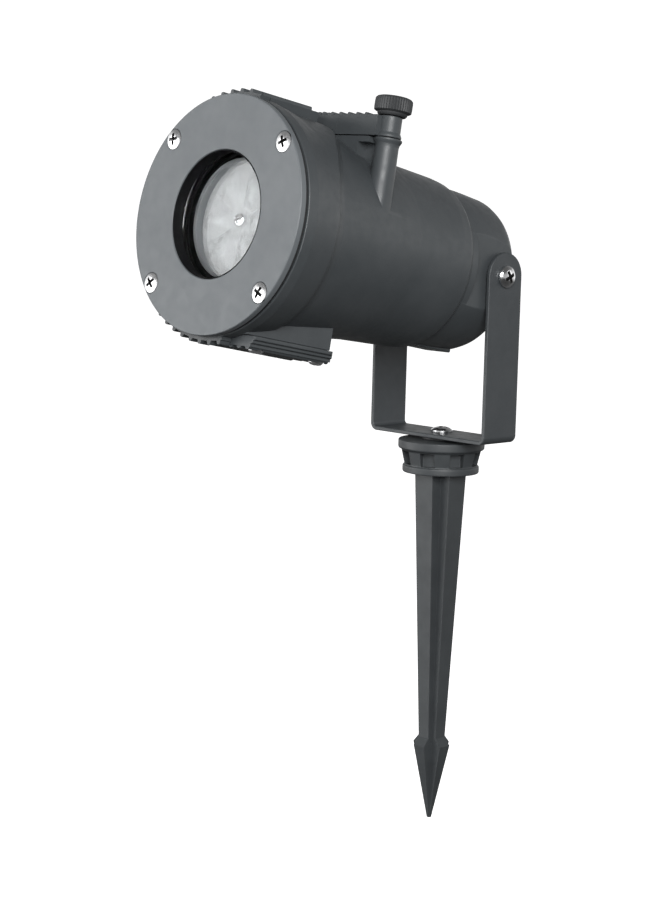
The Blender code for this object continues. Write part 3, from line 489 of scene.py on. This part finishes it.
def make_front():
    hole = WINDOW_R + 0.5
    ring = eased([(hole, FACE_Y), (FACE_R, FACE_Y), (FACE_R, BEZEL_BACK), (hole, BEZEL_BACK)],
                 0.7, closed=True)
    sinks = [turned([(0, FACE_Y - 1), (4.5, FACE_Y - 1), (4.5, FACE_Y + 0.25), (2.3, FACE_Y + 2.4),
                     (2.3, BEZEL_BACK + 1), (0, BEZEL_BACK + 1)], "Y", (x, 0, z), steps=48)
             for x, z in bezel_points()]
    plate = combined(turned(ring, steps=160), ("DIFFERENCE", merged(*sinks)))
    piece("bezel_plate", plate, "head", BEZEL, ("front_bezel",))

    gasket = eased([(FLANGE_BORE + 0.4, BEZEL_BACK + 0.3), (FLANGE_R - 0.5, BEZEL_BACK + 0.3),
                    (FLANGE_R - 0.5, BEZEL_BACK + 1.2), (FLANGE_BORE + 0.4, BEZEL_BACK + 1.2)],
                   0.3, closed=True)
    piece("bezel_seal", turned(gasket, steps=128), "head", RUBBER, ("bezel_gasket",))

    for i, ((x, z), turn) in enumerate(zip(bezel_points(), (22.0, 8.0, 40.0, 63.0))):
        head = screw_head(4.15, 1.9, 0.75, 1.6, 4.0, turn, "oval")
        screw = stand_on(head, (0, -1, 0), (x, FACE_Y + 1.95, z))
        piece(f"face_screw_{i + 1}", screw, "head", STEEL, (f"bezel_screw_{i + 1}",))

    steps = [(WINDOW_R, FACE_Y + 0.3), (hole - 0.1, FACE_Y + 0.3), (hole - 0.1, BEZEL_BACK + 0.3),
             (31.0, BEZEL_BACK + 0.3), (31.0, -131.9), (29.0, -131.9), (29.0, -133.0), (27.6, -133.0),
             (27.6, -134.6), (WINDOW_R, -134.6)]
    piece("window_tube", turned(eased(steps, 0.2, closed=True), steps=128), "head", TUBE, ("window_shroud",))


# ---- main housing -------------------------------------------------------
def ribbed(r0, r1, start, end):
    """Outline of a curved wall with evenly pitched ribs, round at their tops and feet."""
    half = math.degrees(RIB_W / 2 / r1)
    first = RIB_FIRST + math.ceil((start + half - RIB_FIRST) / RIB_PITCH) * RIB_PITCH
    count = 1 + int((end - half - first) // RIB_PITCH)
    outer = [polar(r1, start)]
    for i in range(count):
        middle = first + i * RIB_PITCH
        for turn, rise in ((-1.2, 0.0), (-0.95, 0.12), (-0.72, 0.75), (-0.45, 0.97), (0.0, 1.0),
                           (0.45, 0.97), (0.72, 0.75), (0.95, 0.12), (1.2, 0.0)):
            outer.append(polar(r1 + RIB_H * rise, middle + half * turn))
    outer.append(polar(r1, end))
    inner = [polar(r0, end + (start - end) * i / 72) for i in range(73)]
    return outer + inner


def shell_profile():
    outline = [(FLANGE_BORE, SHELL_FRONT), (FLANGE_R, SHELL_FRONT), (FLANGE_R, FLANGE_BACK),
               (BAY_R, FLANGE_BACK), (BAY_R, DRUM_BACK), (NECK_R, NECK_Y), (38.0, -31.0), (37.5, -26.0),
               (36.6, SEAM_Y), (REAR_BORE, SEAM_Y), (REAR_BORE, -32.0), (NECK_BORE, NECK_Y),
               (BAY_BORE, DRUM_BACK), (BAY_BORE, FLANGE_BACK + 1), (FLANGE_BORE, FLANGE_BACK)]
    return eased(outline, 0.6, closed=True)


def barrel_r(y):
    """Radius of the barrel's cone behind the drum."""
    return BAY_R + (NECK_R - BAY_R) * (y - DRUM_BACK) / (NECK_Y - DRUM_BACK)


def drum_crease(angle):
    """Where the drum ends, which sweeps back towards the clamp ear."""
    for (a0, y0), (a1, y1) in zip(DRUM_SWEEP, DRUM_SWEEP[1:]):
        if a0 <= angle <= a1:
            return y0 + (y1 - y0) * (angle - a0) / (a1 - a0)
    return DRUM_BACK


def drum():
    """The smooth drum on the side away from the door, fading into the barrel at its back."""
    bm = bmesh.new()
    sections = []
    limit = DOOR_TOP - 1.5
    for i in range(DRUM_STEPS + 1):
        angle = limit * (2 * i / DRUM_STEPS - 1)
        back = drum_crease(angle)
        fade = min(DRUM_FADE, EAR_FRONT - 0.6 - back)
        profile = [(43.0, FLANGE_BACK - 0.5), (FLANGE_R, FLANGE_BACK - 0.5), (48.7, -126.0), (47.9, -121.5),
                   (47.3, -118.5), (46.7, back), (46.3, back + 0.12 * fade), (45.0, back + 0.4 * fade),
                   (barrel_r(back + 0.8 * fade) + 0.1, back + 0.8 * fade),
                   (barrel_r(back + fade) - 1.2, back + fade)]
        section = []
        for r, y in profile:
            x, z = polar(r, angle)
            section.append(bm.verts.new((x, y, z)))
        sections.append(section)
    for one, other in zip(sections, sections[1:]):
        for j in range(len(one)):
            k = (j + 1) % len(one)
            bm.faces.new((one[j], one[k], other[k], other[j]))
    bm.faces.new(sections[0])
    bm.faces.new(sections[-1])
    return bm


def lower_ear():
    """Plate, screw post and the recessed web between them, under the parting plane."""
    top = EAR_PART_Z - 0.2
    x = POST[0]
    plate = prism(eased([(8.0, 36.0), (20.5, 21.0), (23.5, 21.0), (23.5, top - 2.4), (x - 4.6, top - 2.4),
                         (x - 4.6, top), (8.0, top)], 0.3, closed=True),
                  "Y", EAR_FRONT + 0.4, DOOR_BACK - 0.4)
    web = prism([(20.0, 18.0), (x, 12.0), (x, top - 0.6), (20.0, top - 0.6)],
                "Y", EAR_FRONT + 6.0, DOOR_BACK - 2.8)
    post = turned(eased([(0, 3.0), (5.7, 3.0), (4.9, top - 3.4), (5.1, top - 2.2), (5.5, top - 1.5),
                         (5.9, top - 0.7), (5.8, top), (0, top)], 0.3), "Z", POST, steps=64)
    return plate, web, post


def housing_drillings():
    drills = [rod(1.95, SHELL_FRONT - 1, SHELL_FRONT + 4.7, "Y", (x, 0, z)) for x, z in bezel_points()]
    drills += [rod(1.9, LUG_Z - 5.0, LUG_Z + 5.0, "Z", (HINGE_SCREW_X, y, 0)) for y in HINGE_SCREW_Y]
    drills.append(rod(3.4, EAR_PART_Z - 9.0, EAR_PART_Z + 2, "Z", POST))
    for angle in CAP_SCREW_ANGLES:
        sink = turned([(0, 34.0), (1.7, 34.0), (1.7, 36.6), (3.4, 38.3), (3.4, 42.0), (0, 42.0)],
                      "Z", (0, CAP_SCREW_Y, 0), steps=32)
        drills.append(spun(sink, 90.0 - angle))
    return merged(*drills)


def make_housing():
    plate, web, post = lower_ear()
    lug = prism(eased([(3.0, -34.0), (20.0, -34.0), (20.0, LUG_Z), (3.0, LUG_Z)], 0.4, closed=True),
                "Y", FLANGE_BACK - 1.0, -84.0)
    flange_ribs = prism(ribbed(FLANGE_R - 2.0, DOOR_R, DOOR_TOP, 360.0 - DOOR_TOP), "Y",
                        SHELL_FRONT + 0.2, FLANGE_BACK)
    seat = block((1.0, 30.0), (FLANGE_BACK, -80.0), (-60.0, LUG_Z))
    mouth = rod(FLANGE_BORE + 0.05, -136.0, FLANGE_BACK, steps=144)
    bay = turned([(0, FLANGE_BACK - 1), (BAY_BORE, FLANGE_BACK), (BAY_BORE, DRUM_BACK), (NECK_BORE, NECK_Y),
                  (0, NECK_Y)], steps=96)
    added = [("UNION", bm) for bm in (flange_ribs, drum(), plate, web, post, lug)]
    removed = [("DIFFERENCE", bm) for bm in (seat, mouth, bay, block(*SLIDE_WINDOW), housing_drillings())]
    body = combined(turned(shell_profile(), steps=144), *added, *removed)
    piece("barrel", body, "head", HOUSING, ("main_housing",))


# ---- door ---------------------------------------------------------------
def upper_ear():
    """The door's half of the clamp: plate, raised bars across its top and screw boss."""
    foot = EAR_PART_Z + 0.2
    top = EAR_TOP_Z
    x = POST[0]
    plate = prism(eased([(7.5, foot), (x - 1.0, foot), (x - 1.0, top), (7.5, top - 0.4)], 0.5, closed=True),
                  "Y", EAR_FRONT, DOOR_BACK + 0.2)
    root = prism([(-6.0, foot), (8.0, foot), (8.0, top - 0.4), (-6.0, top - 1.2)],
                 "Y", EAR_FRONT, DOOR_BACK + 0.2)
    boss = turned(eased([(0, foot), (5.2, foot), (5.3, foot + 0.7), (5.0, foot + 1.4), (4.6, foot + 2.1),
                         (4.5, top), (4.2, top + 0.35), (0, top + 0.35)], 0.25), "Z", POST, steps=64)
    bars = []
    for i in range(6):
        middle = 1.4 + i * 5.0
        bar = [(-0.9, 0.0), (-0.7, 0.55), (-0.3, 0.8), (0.3, 0.8), (0.7, 0.55), (0.9, 0.0)]
        outline = [(middle + a, top + b) for a, b in bar]
        outline += [(middle + 0.9, top - 1.0), (middle - 0.9, top - 1.0)]
        bars.append(prism(outline, "Y", EAR_FRONT - 0.1, DOOR_BACK + 0.3))
    return plate, root, boss, merged(*bars)


def knuckles(order):
    """Every other barrel of the hinge, with the strap that joins it to its half."""
    parts = []
    for i in order:
        y = HINGE_FRONT + i * KNUCKLE_STEP
        outline = eased([(0, y), (KNUCKLE_R, y), (KNUCKLE_R, y + KNUCKLE_L), (0, y + KNUCKLE_L)], 0.35)
        parts.append(turned(outline, "Y", (HINGE_X, 0, HINGE_Z), steps=48))
        if i % 2:
            strap = block((-8.6, HINGE_X), (y + 0.1, y + KNUCKLE_L - 0.1), (HINGE_Z - 1.2, HINGE_Z + 1.6))
        else:
            strap = block((HINGE_X, 4.0), (y + 0.1, y + KNUCKLE_L - 0.1), (HINGE_Z - 0.3, HINGE_Z + 1.6))
        parts.append(strap)
    return parts


def make_door():
    wall = prism(ribbed(DOOR_INNER, DOOR_R, DOOR_TOP, DOOR_FOOT), "Y", DOOR_FRONT, DOOR_BACK)
    back_r = barrel_r(DOOR_BACK) + 0.8
    end_wall = turned([(back_r + 0.25, DOOR_BACK - 2.4), (47.8, DOOR_BACK - 2.4), (47.8, DOOR_BACK - 0.1),
                       (back_r, DOOR_BACK - 0.1)],
                      start=DOOR_TOP + 2.5, sweep=DOOR_FOOT - DOOR_TOP - 3.0, steps=72)
    solids = [("UNION", bm) for bm in (end_wall, *upper_ear(), *knuckles((1, 3)))]
    notch = block((-4.0, 16.0), (STRIP_END, EAR_FRONT - 0.12), (40.0, 60.0))
    holes = merged(rod(2.7, EAR_PART_Z - 5, EAR_TOP_Z + 5, "Z", POST),
                   rod(1.5, HINGE_FRONT - 5, LEAF_BACK + 5, "Y", (HINGE_X, 0, HINGE_Z)))
    cover = combined(wall, *solids, ("DIFFERENCE", notch), ("DIFFERENCE", holes))
    piece("ribbed_door", cover, "door", HOUSING, ("side_door",))


def make_knob():
    """Thumb screw with a straight knurl, a smooth collar under it and a slightly domed top."""
    base = EAR_TOP_Z + 1.3
    rows = [(0.0, EAR_PART_Z + 0.6, 0), (2.0, EAR_PART_Z + 0.6, 0), (2.4, EAR_PART_Z + 1.2, 0),
            (2.4, base - 0.8, 0), (5.6, base - 0.8, 0), (6.1, base - 0.3, 0), (6.3, base + 0.5, 0),
            (7.1, base + 0.8, 0.3), (7.75, base + 1.2, 1), (7.85, base + 2.6, 1), (7.85, base + 4.6, 1),
            (7.75, base + 6.0, 1), (7.1, base + 6.7, 0.3), (6.2, base + 7.0, 0), (3.2, base + 7.35, 0),
            (0.0, base + 7.5, 0)]
    ridges, per_ridge, depth = 44, 4, 0.34
    bm = bmesh.new()
    rings = []
    for r, z, knurl in rows:
        if r == 0.0:
            rings.append([bm.verts.new((0, 0, z))])
            continue
        ring = []
        for i in range(ridges * per_ridge):
            fall = depth * knurl * (0.0, 0.6, 1.0, 0.6)[i % per_ridge]
            x, y = polar(r - fall, 360.0 * i / (ridges * per_ridge))
            ring.append(bm.verts.new((x, y, z)))
        rings.append(ring)
    for lower, upper in zip(rings, rings[1:]):
        count = max(len(lower), len(upper))
        for i in range(count):
            j = (i + 1) % count
            if len(lower) == 1:
                bm.faces.new((lower[0], upper[i], upper[j]))
            elif len(upper) == 1:
                bm.faces.new((lower[i], lower[j], upper[0]))
            else:
                bm.faces.new((lower[i], lower[j], upper[j], upper[i]))
    piece("knurled_knob", moved(bm, POST), "thumb_screw", KNOB, ("thumb_screw",), angle=40.0)


def leaf_outline():
    """The hinge leaf end-on: flat on top, stepped at its side, ribbed underneath."""
    top = LUG_Z - 0.3
    points = [(2.5, LEAF_FOOT_Z), (2.5, top), (24.0, top), (24.0, top - 1.5), (22.8, top - 1.7),
              (22.8, top - 2.9), (21.6, top - 3.1), (21.6, LEAF_FOOT_Z)]
    points = eased(points, 0.3, closed=True)
    ribs = []
    for i in range(4):
        x = 19.6 - i * 5.0
        rib = [(1.3, 0.5), (1.2, -0.3), (0.8, -0.85), (0.0, -1.0), (-0.8, -0.85), (-1.2, -0.3), (-1.3, 0.5)]
        ribs.append([(x + across, LEAF_FOOT_Z + rise) for across, rise in rib])
    return points, ribs


def make_hinge():
    outline, ribs = leaf_outline()
    solids = [prism(rib, "Y", DOOR_FRONT + 0.3, LEAF_BACK - 0.4) for rib in ribs] + knuckles((0, 2, 4))
    holes = [rod(1.5, HINGE_FRONT - 5, LEAF_BACK + 5, "Y", (HINGE_X, 0, HINGE_Z))]
    for y in HINGE_SCREW_Y:
        holes.append(turned([(0, -60.0), (3.7, -60.0), (3.7, LEAF_FOOT_Z + 0.2), (1.9, LEAF_FOOT_Z + 0.2),
                             (1.9, -40.0), (0, -40.0)], "Z", (HINGE_SCREW_X, y, 0), steps=48))
    corner = arc(21.0, LEAF_BACK - 3.0, 3.0, 90.0, 0.0, 8)
    corner += [(25.0, LEAF_BACK - 3.0), (25.0, LEAF_BACK + 1.0), (21.0, LEAF_BACK + 1.0)]
    holes.append(prism(corner, "Z", -60.0, -40.0))
    leaf = combined(prism(outline, "Y", DOOR_FRONT, LEAF_BACK), *(("UNION", bm) for bm in solids),
                    ("DIFFERENCE", merged(*holes)))
    piece("hinge_plate", leaf, "head", HOUSING, ("hinge_leaf",))
    for i, y in enumerate(HINGE_SCREW_Y):
        screw = stand_on(screw_head(3.1, 1.4, 0.7, 1.5, 8.0, 30.0 + 40.0 * i), (0, 0, -1),
                         (HINGE_SCREW_X, y, LEAF_FOOT_Z - 0.1))
        piece(f"leaf_screw_{i + 1}", screw, "head", STEEL, (f"hinge_screw_{i + 1}",))


# ---- lens ---------------------------------------------------------------
def make_lens():
    """Black carrier with a grey rim, a pale disc moulded with six petals, and its hub screw."""
    ring = eased([(25.4, -128.3), (27.9, -128.3), (27.9, -122.9), (25.5, -122.9), (25.5, -118.6),
                  (22.5, -118.6), (22.5, -120.2), (24.4, -120.2), (24.4, -126.7), (25.4, -126.7)],
                 0.3, closed=True)
    piece("lens_ring", turned(ring, steps=128), "lens_group", TUBE, ("lens_carrier",))
    rim = eased([(23.4, -128.3), (25.2, -128.3), (25.2, -126.9), (24.3, -126.9), (24.3, -124.5),
                 (23.4, -124.5)], 0.3, closed=True)
    piece("lens_rim", turned(rim, steps=128), "lens_group", RING)
    rows, spokes = 26, 144
    bm = bmesh.new()
    rings = []
    for i in range(rows + 1):
        r = 1.9 + (24.2 - 1.9) * i / rows
        ring = []
        for j in range(spokes):
            turn = 2 * math.pi * j / spokes
            lobe = 0.5 + 0.5 * math.cos(6 * turn)
            reach = min(1.0, max(0.0, (r - 5.0) / 4.0)) * min(1.0, max(0.0, (23.6 - r) / 3.0))
            across = (r - 13.5) / 10.0
            rise = max(0.0, 1.0 - across * across) * lobe ** 0.5 * reach
            ring.append(bm.verts.new((r * math.cos(turn), -124.4 - 2.7 * rise, r * math.sin(turn))))
        rings.append(ring)
    back = []
    for r in (1.9, 24.2):
        turns = [2 * math.pi * j / spokes for j in range(spokes)]
        back.append([bm.verts.new((r * math.cos(turn), -120.5, r * math.sin(turn))) for turn in turns])
    loops = [back[0], *rings, back[1], back[0]]
    for inner, outer in zip(loops, loops[1:]):
        for j in range(spokes):
            k = (j + 1) % spokes
            bm.faces.new((inner[j], inner[k], outer[k], outer[j]))
    piece("petal_lens", bm, "lens_group", FROSTED, ("multi_lens_disc",), angle=50.0)
    hub = stand_on(screw_head(2.9, 1.0, 0.7, 1.4, 5.6, 15.0), (0, -1, 0), (0, -125.4, 0))
    piece("hub_screw", hub, "lens_group", STEEL, ("lens_hub_screw",))


# ---- rear ---------------------------------------------------------------
def cap_profile():
    dome = [(CAP_R, -12.0), (35.2, -6.0), (34.9, -2.0), (34.6, 2.5), (33.7, 5.0), (32.3, 6.6), (30.4, 8.0),
            (28.2, 9.1), (24.9, 10.4), (22.6, 11.0), (22.0, 11.8), (22.0, 16.5), (21.7, 18.2), (21.0, 19.8),
            (19.9, 21.0), (18.2, 21.7), (16.0, CAP_END_Y), (0, CAP_END_Y)]
    groove = [(CAP_R, -28.9), (34.1, -28.9), (34.1, -26.7), (CAP_R, -26.7)]
    return [(0, -37.0), (CAP_R, -37.0), *groove, *dome]


def make_rear():
    hollow = turned([(0, -38.0), (32.4, -38.0), (32.4, -1.0), (30.6, 3.5), (26.0, 6.8), (16.8, 8.8),
                     (16.8, 16.0), (14.5, 18.4), (0, 18.4)], steps=96)
    inside = [block((29.6, 60.0), (-19.5, 60.0), (-60.0, 60.0)),
              block((-60.0, -29.6), (-19.5, 60.0), (-60.0, 60.0))]
    hollow = combined(hollow, ("DIFFERENCE", merged(*inside)))
    flats = [block((CAP_FLAT_X, 60.0), (-19.5, 60.0), (-60.0, 60.0)),
             block((-60.0, -CAP_FLAT_X), (-19.5, 60.0), (-60.0, 60.0))]
    bosses = [rod(5.6, side * 23.0, side * 30.9, "X") for side in (1, -1)]
    drills = [rod(3.4, -60.0, 60.0, "X"), rod(6.3, 12.0, 60.0)]
    for angle in CAP_SCREW_ANGLES:
        drills.append(spun(rod(1.6, 30.0, 37.0, "Z", (0, CAP_SCREW_Y, 0)), 90.0 - angle))
    rib = prism(eased([(-7.5, -31.0), (-7.5, -35.5), (7.5, -35.5), (7.5, -31.0)], 0.8, closed=True),
                "Y", -20.0, 2.0)
    cap = combined(turned(cap_profile(), steps=144), ("DIFFERENCE", merged(*flats)), ("UNION", rib),
                   ("DIFFERENCE", hollow), ("UNION", merged(*bosses)), ("DIFFERENCE", merged(*drills)))
    piece("end_cap", cap, "head", HOUSING, ("rear_cap",))

    seat = CAP_END_Y + 0.3
    nut = [polar(9.7, 60.0 * i) for i in range(6)]
    gland = combined(rod(6.0, 13.6, seat + 7.0), ("UNION", prism(nut, "Y", seat, seat + 3.0)),
                     ("DIFFERENCE", rod(3.6, 10.0, 60.0)))
    piece("gland_body", gland, "head", BLACK, ("cable_gland",), bevel=0.25)
    ridged = []
    for i in range(24):
        ridged += [polar(8.3, 15.0 * i - 4.5), polar(8.3, 15.0 * i + 4.5), polar(7.9, 15.0 * i + 6.0),
                   polar(7.9, 15.0 * i + 9.0)]
    nose = turned(eased([(0, seat + 7.0), (7.9, seat + 7.0), (7.6, seat + 8.2), (6.5, seat + 10.0),
                         (4.4, seat + 10.4), (0, seat + 10.4)], 0.3), steps=72)
    bore = turned([(0, seat), (6.35, seat), (6.35, seat + 7.8), (4.4, seat + 8.8), (4.4, seat + 12.0),
                   (0, seat + 12.0)], steps=72)
    sleeve = combined(prism(ridged, "Y", seat + 3.3, seat + 7.6), ("UNION", nose), ("DIFFERENCE", bore))
    piece("gland_sleeve", sleeve, "head", BLACK, ("gland_nut",))

    for i, angle in enumerate(CAP_SCREW_ANGLES):
        screw = moved(screw_head(3.1, 1.3, 0.3, 1.4, 4.0, 25.0, "oval"), (0, CAP_SCREW_Y, 36.75))
        piece(f"cap_fixing_{i + 1}", spun(screw, 90.0 - angle), "head", STEEL, (f"cap_screw_{i + 1}",))

    for side, sign in (("right", 1), ("left", -1)):
        screw = stand_on(screw_head(4.8, 1.5, 0.9, 2.1, 10.5, 35.0), (sign, 0, 0),
                         (sign * (YOKE_W / 2 + 0.3), 0, 0))
        piece(f"pivot_bolt_{side}", screw, "head", CHROME, (f"pivot_screw_{side}",))


# ---- bracket and stake --------------------------------------------------
def make_bracket():
    half = YOKE_W / 2
    inner_r = BEND_R - STRIP_T
    top = PIVOT_Z + STRIP_W
    base = YOKE_BASE_Z
    outline = [(half, top)]
    outline += arc(half - BEND_R, base + BEND_R, BEND_R, 0, -90, 12)
    outline += arc(-half + BEND_R, base + BEND_R, BEND_R, -90, -180, 12)
    outline += [(-half, top), (-half + STRIP_T, top)]
    outline += arc(-half + BEND_R, base + BEND_R, inner_r, 180, 270, 12)
    outline += arc(half - BEND_R, base + BEND_R, inner_r, -90, 0, 12)
    outline += [(half - STRIP_T, top)]
    side = arc(0, PIVOT_Z, STRIP_W / 2, 0, 180, 48)
    side += [(-STRIP_W / 2, base - 5), (STRIP_W / 2, base - 5)]
    holes = merged(rod(2.6, -half - 5, half + 5, "X", (0, 0, PIVOT_Z)), rod(2.7, base - 5, base + 5, "Z"))
    strap = combined(prism(outline, "Y", -STRIP_W, STRIP_W),
                     ("INTERSECT", prism(side, "X", -half - 5, half + 5)),
                     ("DIFFERENCE", holes))
    piece("u_strap", strap, "bracket", BRACKET, ("u_bracket",), GROUND, bevel=0.35, angle=40.0)


def blade():
    """A cross-shaped spike: four fins with grooves between them, and a barb above the point."""
    bm = bmesh.new()
    rings = []
    for z, reach, half in ((1.0, 10.9, 5.4), (-122.5, 5.4, 3.1), (-126.0, 8.4, 3.3), (-161.0, 0.9, 0.6)):
        fin = [(half, -half), (reach, -half), (reach, half)]
        turns = [Matrix.Rotation(math.radians(90.0 * i), 2) for i in range(4)]
        section = [turn @ Vector(p) for turn in turns for p in fin]
        rings.append([bm.verts.new((p.x, p.y, z)) for p in section])
    count = len(rings[0])
    for upper, lower in zip(rings, rings[1:]):
        for i in range(count):
            j = (i + 1) % count
            bm.faces.new((upper[i], upper[j], lower[j], lower[i]))
    bm.faces.new(rings[0])
    bm.faces.new(rings[-1])
    bmesh.ops.recalc_face_normals(bm, faces=bm.faces)
    long_edges = [e for e in bm.edges if abs(e.verts[0].co.z - e.verts[1].co.z) > 1.0 and not e.is_boundary]
    bmesh.ops.bevel(bm, geom=long_edges, offset=0.3, segments=2, profile=0.5, affect="EDGES",
                    clamp_overlap=True)
    return bm


def make_stake():
    crown = turned(eased([(0, 0), (COLLAR_R, 0), (COLLAR_R, 3.2), (16.4, 3.4), (18.0, 10.4), (RIM_R, 10.9),
                          (RIM_R, STAKE_TOP), (0, STAKE_TOP)], 0.8), "Z", steps=96)
    recesses = []
    for i in range(8):
        pocket = prism(eased([(0, -3.4), (8, -3.4), (8, 3.4), (0, 3.4)], 0.5, closed=True), "Z", 3.7, 10.0)
        recesses.append(spun(moved(pocket, (13.6, 0, 0)), i * 45.0 + 22.5, "Z"))
    bore = turned([(0, -7.0), (2.6, -7.0), (2.6, 4.0), (4.0, 4.0), (4.0, STAKE_TOP + 1), (0, STAKE_TOP + 1)],
                  "Z", steps=48)
    body = combined(blade(), ("UNION", crown), ("DIFFERENCE", merged(*recesses)), ("DIFFERENCE", bore))
    piece("spike", body, "stake", STAKE, ("ground_stake",), GROUND)
    screw = moved(screw_head(4.9, 1.3, 1.0, 2.15, 22.0, 20.0), (0, 0, YOKE_BASE_Z + STRIP_T + 0.3))
    piece("swivel_bolt", screw, "stake", CHROME, ("stake_screw",), GROUND)


# ---- stage --------------------------------------------------------------
def make_camera():
    data = bpy.data.cameras.new("camera")
    data.lens = 88.0
    data.sensor_width = 36.0
    data.clip_start = 0.01
    camera = bpy.data.objects.new("camera", data)
    bpy.context.collection.objects.link(camera)
    azimuth, pitch, roll = (math.radians(a) for a in (45.92, 7.61, 1.54))
    forward = Vector((-math.sin(azimuth) * math.cos(pitch), math.cos(azimuth) * math.cos(pitch),
                      -math.sin(pitch)))
    right = Vector((math.cos(azimuth), math.sin(azimuth), 0))
    up = right.cross(forward)
    right, up = (right * math.cos(roll) + up * math.sin(roll), up * math.cos(roll) - right * math.sin(roll))
    turn = Matrix((right, up, -forward)).transposed().to_4x4()
    camera.matrix_world = Matrix.Translation((0.6726, -0.7212, 0.1401)) @ turn
    bpy.context.scene.camera = camera


def area(name, position, target, size, power, colour=(1, 1, 1)):
    data = bpy.data.lights.new(name, "AREA")
    data.shape = "RECTANGLE"
    data.size, data.size_y = size
    data.energy = power
    data.color = colour
    light = bpy.data.objects.new(name, data)
    bpy.context.collection.objects.link(light)
    aim = Vector(target) - Vector(position)
    light.matrix_world = Matrix.Translation(position) @ aim.to_track_quat("-Z", "Y").to_matrix().to_4x4()


def make_stage():
    """A white paper floor and a bright band of sky, dimmer overhead, below and to the right."""
    bm = bmesh.new()
    bmesh.ops.create_grid(bm, x_segments=1, y_segments=1, size=40.0)
    mesh = bpy.data.meshes.new("floor")
    bm.to_mesh(mesh)
    bm.free()
    floor = bpy.data.objects.new("floor", mesh)
    bpy.context.collection.objects.link(floor)
    floor.location = (0, 0, CAD_BOX[0][2] - 0.0005)
    paint = Paint("floor_paper")
    paint.colours(paint.noise(3.0), (0.90, 0.90, 0.90), (0.93, 0.93, 0.93))
    paint.set(Roughness=0.9, Emission_Color=(1.0, 1.0, 1.0, 1.0), Emission_Strength=0.9)
    mesh.materials.append(paint.mat)
    floor.visible_diffuse = False
    floor.visible_glossy = False

    world = bpy.data.worlds.new("studio")
    world.use_nodes = True
    tree = world.node_tree
    direction = tree.nodes.new("ShaderNodeTexCoord")
    parts = tree.nodes.new("ShaderNodeSeparateXYZ")
    height = tree.nodes.new("ShaderNodeMapRange")
    height.inputs["From Min"].default_value = -1.0
    height.inputs["From Max"].default_value = 1.0
    falloff = tree.nodes.new("ShaderNodeMapRange")
    for key, value in (("From Min", 0.0), ("From Max", 0.8), ("To Min", 1.1), ("To Max", 0.45)):
        falloff.inputs[key].default_value = value
    ramp = tree.nodes.new("ShaderNodeValToRGB")
    stops = ((0.0, 0.08), (0.38, 0.12), (0.46, 1.0), (0.58, 1.0), (0.70, 0.24), (1.0, 0.10))
    for i, (position, value) in enumerate(stops):
        stop = ramp.color_ramp.elements[i] if i < 2 else ramp.color_ramp.elements.new(position)
        stop.position = position
        stop.color = (value, value, value, 1.0)
    tree.links.new(direction.outputs["Generated"], parts.inputs["Vector"])
    tree.links.new(parts.outputs["Z"], height.inputs["Value"])
    tree.links.new(height.outputs["Result"], ramp.inputs["Fac"])
    tree.links.new(parts.outputs["X"], falloff.inputs["Value"])
    tree.links.new(ramp.outputs["Color"], tree.nodes["Background"].inputs["Color"])
    tree.links.new(falloff.outputs["Result"], tree.nodes["Background"].inputs["Strength"])
    scene = bpy.context.scene
    scene.world = world
    scene.view_settings.view_transform = "Standard"

    middle = (0.0, -0.06, 0.07)
    area("front_left_softbox", (-1.15, -1.30, 0.10), middle, (1.5, 1.3), 14.0)
    area("front_right_key", (1.20, -1.06, 0.62), middle, (1.0, 0.8), 34.0)
    area("right_rear_strip", (1.10, 1.05, 0.40), middle, (0.8, 0.6), 1.2)


# ---- assembly -----------------------------------------------------------
paint_frame()
make_camera()
make_front()
make_housing()
make_door()
make_knob()
make_hinge()
make_lens()
make_rear()
make_bracket()
make_stake()
make_stage()
